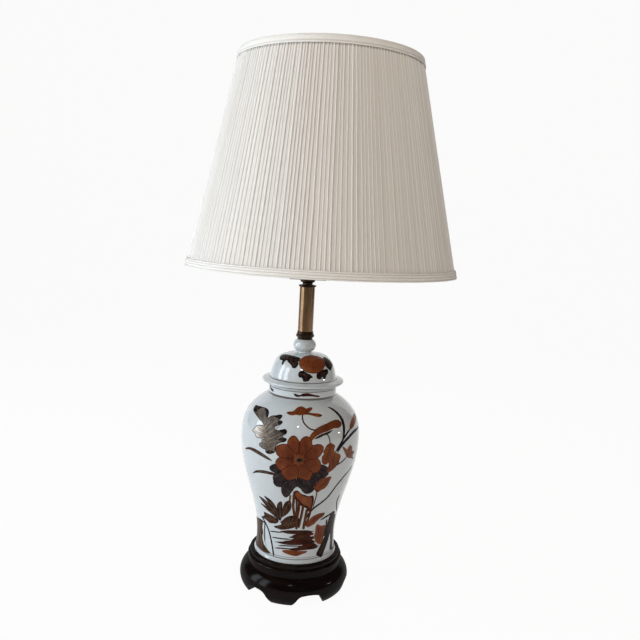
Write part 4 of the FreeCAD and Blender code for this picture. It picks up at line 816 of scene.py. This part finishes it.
old_brass, shader, wire = new_finish("old_brass", Metallic=1.0, Coat_Weight=0.2, Coat_Roughness=0.1)
where = wire.place()
tarnish = where.clouds(70.0, 5.0, 0.6, (1.0, 1.0, 0.25))
drawn = where.clouds(900.0, 1.0, 0.5, (1.0, 1.0, 0.01))
browned = tarnish.between(0.3, 0.7).mix((0.100, 0.056, 0.026), (0.19, 0.110, 0.055))
wire.plug(shader.inputs["Base Color"], browned)
wire.plug(shader.inputs["Roughness"], tarnish * 0.14 + drawn * 0.06 + 0.12)
relief(wire, shader, drawn, 0.00004, 0.5)
dress(old_brass, "neck_tube")

dark_bronze = mottled("dark_bronze", 160.0, 5.0, (0.012, 0.006, 0.004), (0.06, 0.032, 0.017), (0.2, 0.24),
                      (0.0001, 0.5), (0.35, 0.75), Metallic=0.85)
dress(dark_bronze, "base_ring", "check_ring", "neck_cup", "harp_saddle")


# ---- Pipe, washers and nut under the deck --------------------------------------------------------
# Zinc-plated steel: the threaded pipe that clamps the whole stack, its washer, lock washer and nut,
# and two of the socket's screws. The cord's bushing, the socket's block and the switch knob are
# moulded in black plastic.

zinc = mottled("zinc_plate", 240.0, 4.0, (0.42, 0.43, 0.44), (0.66, 0.67, 0.68), (0.25, 0.25), (0.00008, 0.4),
               Metallic=1.0)
dress(zinc, "pipe_washer", "lock_washer", "pipe_nut", "cap_set_screw", "terminal_screw_right")

pipe_pitch = 0.00094
threaded, shader, wire = new_finish("threaded_steel", Metallic=1.0)
turns = wire.sum("PINGPONG", wire.place().along("Z") / pipe_pitch, 0.5) * 2
# Painted shade and highlight: the colour darkens into the thread's roots and lightens on its crests.
wire.plug(shader.inputs["Base Color"], turns.mix((0.22, 0.22, 0.22), (0.58, 0.59, 0.60)))
wire.plug(shader.inputs["Roughness"], 0.55 - turns * 0.2)
relief(wire, shader, turns, 0.0004, 1.0)
dress(threaded, "lamp_pipe")

plastic = mottled("black_plastic", 300.0, 3.0, (0.010, 0.010, 0.011), (0.028, 0.027, 0.027), (0.25, 0.28),
                  (0.00005, 0.4))
dress(plastic, "cord_bushing", "socket_block", "switch_knob")


# ---- Harp, socket and finial --------------------------------------------------------------------
# Brass-plated steel wire and pressings, bright, with a few duller patches. A card sleeve lines the
# socket's brass shell, and its screw shell is thin aluminium, as the bulb's base is.

bright_brass = mottled("bright_brass", 130.0, 5.0, (0.70, 0.47, 0.19), (0.44, 0.28, 0.11), (0.22, 0.14),
                       (0.00006, 0.4), (0.35, 0.7), Metallic=1.0)
dress(bright_brass, "harp", "harp_ferrule_left", "harp_ferrule_right", "harp_stud", "socket_cap",
      "socket_shell", "terminal_screw_left", "centre_contact", "switch_shaft", "shade_arm_1", "shade_arm_2",
      "shade_arm_3", "shade_hub", "finial_washer", "finial")

card, shader, wire = new_finish("pressed_card", Roughness=0.85)
fibres = wire.place().clouds(500.0, 4.0, 0.7, (1.0, 1.0, 0.3))
wire.plug(shader.inputs["Base Color"], fibres.mix((0.40, 0.31, 0.20), (0.58, 0.49, 0.36)))
relief(wire, shader, fibres, 0.0001, 0.6)
dress(card, "socket_liner")

bulb_pitch = 0.00363
aluminium, shader, wire = new_finish("thin_aluminium", Metallic=1.0)
where = wire.place()
rubbing = where.clouds(260.0, 4.0, 0.6)
ribs = wire.sum("PINGPONG", where.along("Z") / bulb_pitch, 0.5) * 2
wire.plug(shader.inputs["Base Color"], rubbing.mix((0.66, 0.66, 0.67), (0.86, 0.86, 0.86)))
wire.plug(shader.inputs["Roughness"], rubbing * 0.25 + 0.2)
relief(wire, shader, ribs, 0.0012, 0.8)
dress(aluminium, "screw_shell", "bulb_base")


# ---- Bulb ---------------------------------------------------------------------------------------
# Soft-white glass over a stem of clear glass, with a black glass tip round its contact. Its
# aluminium base screws into the socket's screw shell.

milky = mottled("soft_white_glass", 200.0, 3.0, (0.86, 0.86, 0.85), (0.93, 0.93, 0.92), (0.2, 0.25),
                (0.00005, 0.3), ragged=0.5, IOR=1.5, Transmission_Weight=0.35)
dress(milky, "bulb_glass")
clear = mottled("stem_glass", 120.0, 2.0, (0.75, 0.78, 0.78), (0.88, 0.90, 0.90), (0.1, 0.05), None,
                ragged=0.5, IOR=1.5, Transmission_Weight=0.6)
dress(clear, "bulb_stem")
black_glass = mottled("black_glass", 400.0, 3.0, (0.006, 0.006, 0.008), (0.03, 0.03, 0.035), (0.2, 0.1), None,
                      ragged=0.5)
dress(black_glass, "bulb_tip")


# ---- Shade frame and lining ----------------------------------------------------------------------
# Two white-lacquered wire rings and a cone of stiff white styrene sheet, rolled round them and
# glued, which carries the cloth.

lacquer = mottled("white_lacquer", 180.0, 3.0, (0.74, 0.73, 0.70), (0.84, 0.83, 0.80), (0.2, 0.3),
                  (0.0001, 0.4), ragged=0.5)
dress(lacquer, "shade_bottom_ring", "shade_top_ring")
styrene = mottled("white_styrene", 30.0, 4.0, (0.80, 0.78, 0.73), (0.87, 0.85, 0.80), (0.2, 0.42),
                  (0.0004, 0.4), ragged=0.55)
dress(styrene, "shade_lining")


# ---- Pleated cover ------------------------------------------------------------------------------
# Off-white cloth laid over the cone in 184 hand-set pleats, narrower at the top than at the bottom,
# their edges raised and a little uneven. It is glued under the bands at both edges.

# The cover is a cone, narrower at its top by the taper. Its crests stand a pleat's depth over its
# hollows. A pleat without a crest would lie half raised, and above gathered_from, a share of the
# height, all pleats are drawn up alike under the top band.
cover_low, cover_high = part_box("shade_cover")
shade_x = (cover_low.x + cover_high.x) / 2
cover_foot = cover_high.x - shade_x
cover_height = cover_high.z - cover_low.z
taper = 0.0762
cover_head = cover_foot - taper
pleats = 184
pleat_depth = 0.0026
half_raised = 0.34
gathered_from = 0.972

# One pleat: shares of its width, and how far the cloth is raised there.
fold = ((0.0, 0.34), (0.22, 0.40), (0.42, 0.36), (0.54, 0.42), (0.62, 1.0), (0.72, 0.90), (0.80, 0.02),
        (0.90, 0.08))
columns = pleats * len(fold)
rng = random.Random(7)
widths = [rng.uniform(0.78, 1.24) for _ in range(pleats)]
crests = [rng.choice((rng.uniform(0.35, 0.6), rng.uniform(0.55, 0.85), rng.uniform(0.8, 1.0)))
          for _ in range(pleats)]
sway = [rng.uniform(0, 100) for _ in range(pleats)]
starts = [sum(widths[:i]) for i in range(pleats)]
cloth = bmesh.new()
groove = cloth.verts.layers.float.new("groove")
bmesh.ops.create_cone(cloth, cap_ends=False, segments=columns, radius1=cover_foot, radius2=cover_head,
                      depth=cover_height)
risers = [e for e in cloth.edges if abs(e.verts[0].co.z - e.verts[1].co.z) > cover_height / 2]
bmesh.ops.subdivide_edges(cloth, edges=risers, cuts=27, use_grid_fill=False)
for v in cloth.verts:
    height = v.co.z / cover_height + 0.5
    column = round(math.atan2(v.co.y, v.co.x) / math.tau * columns) % columns
    pleat, step = divmod(column, len(fold))
    along, raised = fold[step]
    slow = noise.noise((sway[pleat], height * 1.6, 0.0))
    quick = noise.noise((sway[pleat], height * 6.0, 9.0))
    wander = slow * 0.16 + quick * 0.06
    angle = (starts[pleat] + widths[pleat] * (along + wander)) / sum(widths) * math.tau
    swell = 0.78 + 0.22 * height + 0.12 * noise.noise((sway[pleat], height * 4.0, 3.0))
    gathered = max(0.0, (height - gathered_from) / (1 - gathered_from))
    crest = crests[pleat] * swell * (1 - gathered) + gathered
    ridge = half_raised + (raised - half_raised) * crest
    hollow = 1 - min(ridge, 1.0)
    radius = cover_foot - taper * height - pleat_depth * hollow * (1 + 0.3 * gathered)
    v.co = (shade_x + radius * math.cos(angle), radius * math.sin(angle), cover_low.z + height * cover_height)
    v[groove] = hollow
bmesh.ops.recalc_face_normals(cloth, faces=cloth.faces)

pleated, shader, wire = new_finish("pleated_cloth", Sheen_Weight=0.25, Sheen_Roughness=0.5, Roughness=0.85)
where = wire.place()
weave = where.clouds(900.0, 2.0, 0.6, (1.0, 1.0, 0.25))
cast = where.clouds(22.0, 3.0, 0.5, (1.0, 1.0, 0.15))
off_white = cast.mix((0.86, 0.835, 0.812), (0.92, 0.905, 0.888))
depth = wire.make("ShaderNodeAttribute", {"attribute_name": "groove"}, output="Fac")
# Painted shade: the cloth's colour darkens into the pleats' hollows.
folded = (depth.between(0.35, 0.95) * 0.68).mix(off_white, (0.48, 0.43, 0.38))
# Painted shadow: a dark row just under the top band, darkest in the pleats' hollows.
top_band_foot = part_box("shade_top_trim")[0].z
under_band = where.along("Z").between(top_band_foot - 0.0037, top_band_foot - 0.0017)
painted_band_shadow = under_band * depth.between(0.40, 0.80) * 0.6
wire.plug(shader.inputs["Base Color"], painted_band_shadow.mix(folded, (0.10, 0.08, 0.06)))
relief(wire, shader, weave, 0.00012, 0.5)
cover = piece("pleated_cover", cloth, pleated, "shade", "pleated_cloth", "shade_cover")


# ---- Bands of the shade -------------------------------------------------------------------------
# Folded bias strips glued over both edges of the cover, which turn over the edge to the inside. The
# wide bottom one is creased along three lines, the top one along one.

# Each band's node, how far it stands off the pleats' crests, and its creases in shares of its height.
bands = (("bottom_band", "shade_bottom_trim", 0.0020, (0.18, 0.50, 0.80)),
         ("top_band", "shade_top_trim", 0.0013, (0.26,)))
trim_cloth, shader, wire = new_finish("trim_cloth", Sheen_Weight=0.25, Sheen_Roughness=0.5, Roughness=0.8)
where = wire.place()
z = where.along("Z")
weave = where.clouds(1100.0, 2.0, 0.6)
cast = where.clouds(30.0, 3.0, 0.5)
# Painted shade: the band's colour darkens along each crease's dip.
painted_crease_shade = 0
for _, node, _, creases in bands:
    low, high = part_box(node)
    for crease in creases:
        line = low.z + (high.z - low.z) * crease
        painted_crease_shade = z.within(line - 0.0008, line - 0.0002, line + 0.0002, line + 0.0008) + painted_crease_shade
off_white = cast.mix((0.86, 0.832, 0.80), (0.92, 0.90, 0.875))
wire.plug(shader.inputs["Base Color"], (painted_crease_shade * 0.5).mix(off_white, (0.45, 0.40, 0.35)))
relief(wire, shader, weave, 0.00012, 0.5)


def band(name, node, proud, creases):
    """A folded strip on the shade's side, in place of its node."""
    low, high = (corner.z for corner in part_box(node))
    # Insets from the strip's face, at shares of its height: rounded edges, and a dip at each crease.
    profile = [(-0.0018, 0.0), (-0.0003, 0.015), (0.0, 0.06)]
    for crease in creases:
        profile += [(0.0, crease - 0.05), (-0.0009, crease), (-0.0001, crease + 0.04)]
    profile += [(-0.0001, 0.94), (-0.0006, 0.985), (-0.0018, 1.0)]
    strip = bmesh.new()
    ring = []
    for inset, share in profile:
        height = low + (high - low) * share
        radius = cover_foot + proud + inset - taper * (height - cover_low.z) / cover_height
        ring.append(strip.verts.new((shade_x + radius, 0, height)))
    edges = [strip.edges.new(pair) for pair in zip(ring, ring[1:] + ring[:1])]
    bmesh.ops.spin(strip, geom=ring + edges, cent=(shade_x, 0, 0), axis=(0, 0, 1), angle=math.tau, steps=240,
                   use_merge=True)
    bmesh.ops.remove_doubles(strip, verts=strip.verts, dist=1e-6)
    for v in strip.verts:
        turn = math.atan2(v.co.y, v.co.x - shade_x)
        sunk = abs(noise.noise((math.cos(turn) * 6, math.sin(turn) * 6, high * 9))) * 0.0003
        v.co.x -= math.cos(turn) * sunk
        v.co.y -= math.sin(turn) * sunk
    bmesh.ops.recalc_face_normals(strip, faces=strip.faces)
    return piece(name, strip, trim_cloth, "shade", "trim_cloth", node)


made = [band(*sizes) for sizes in bands]
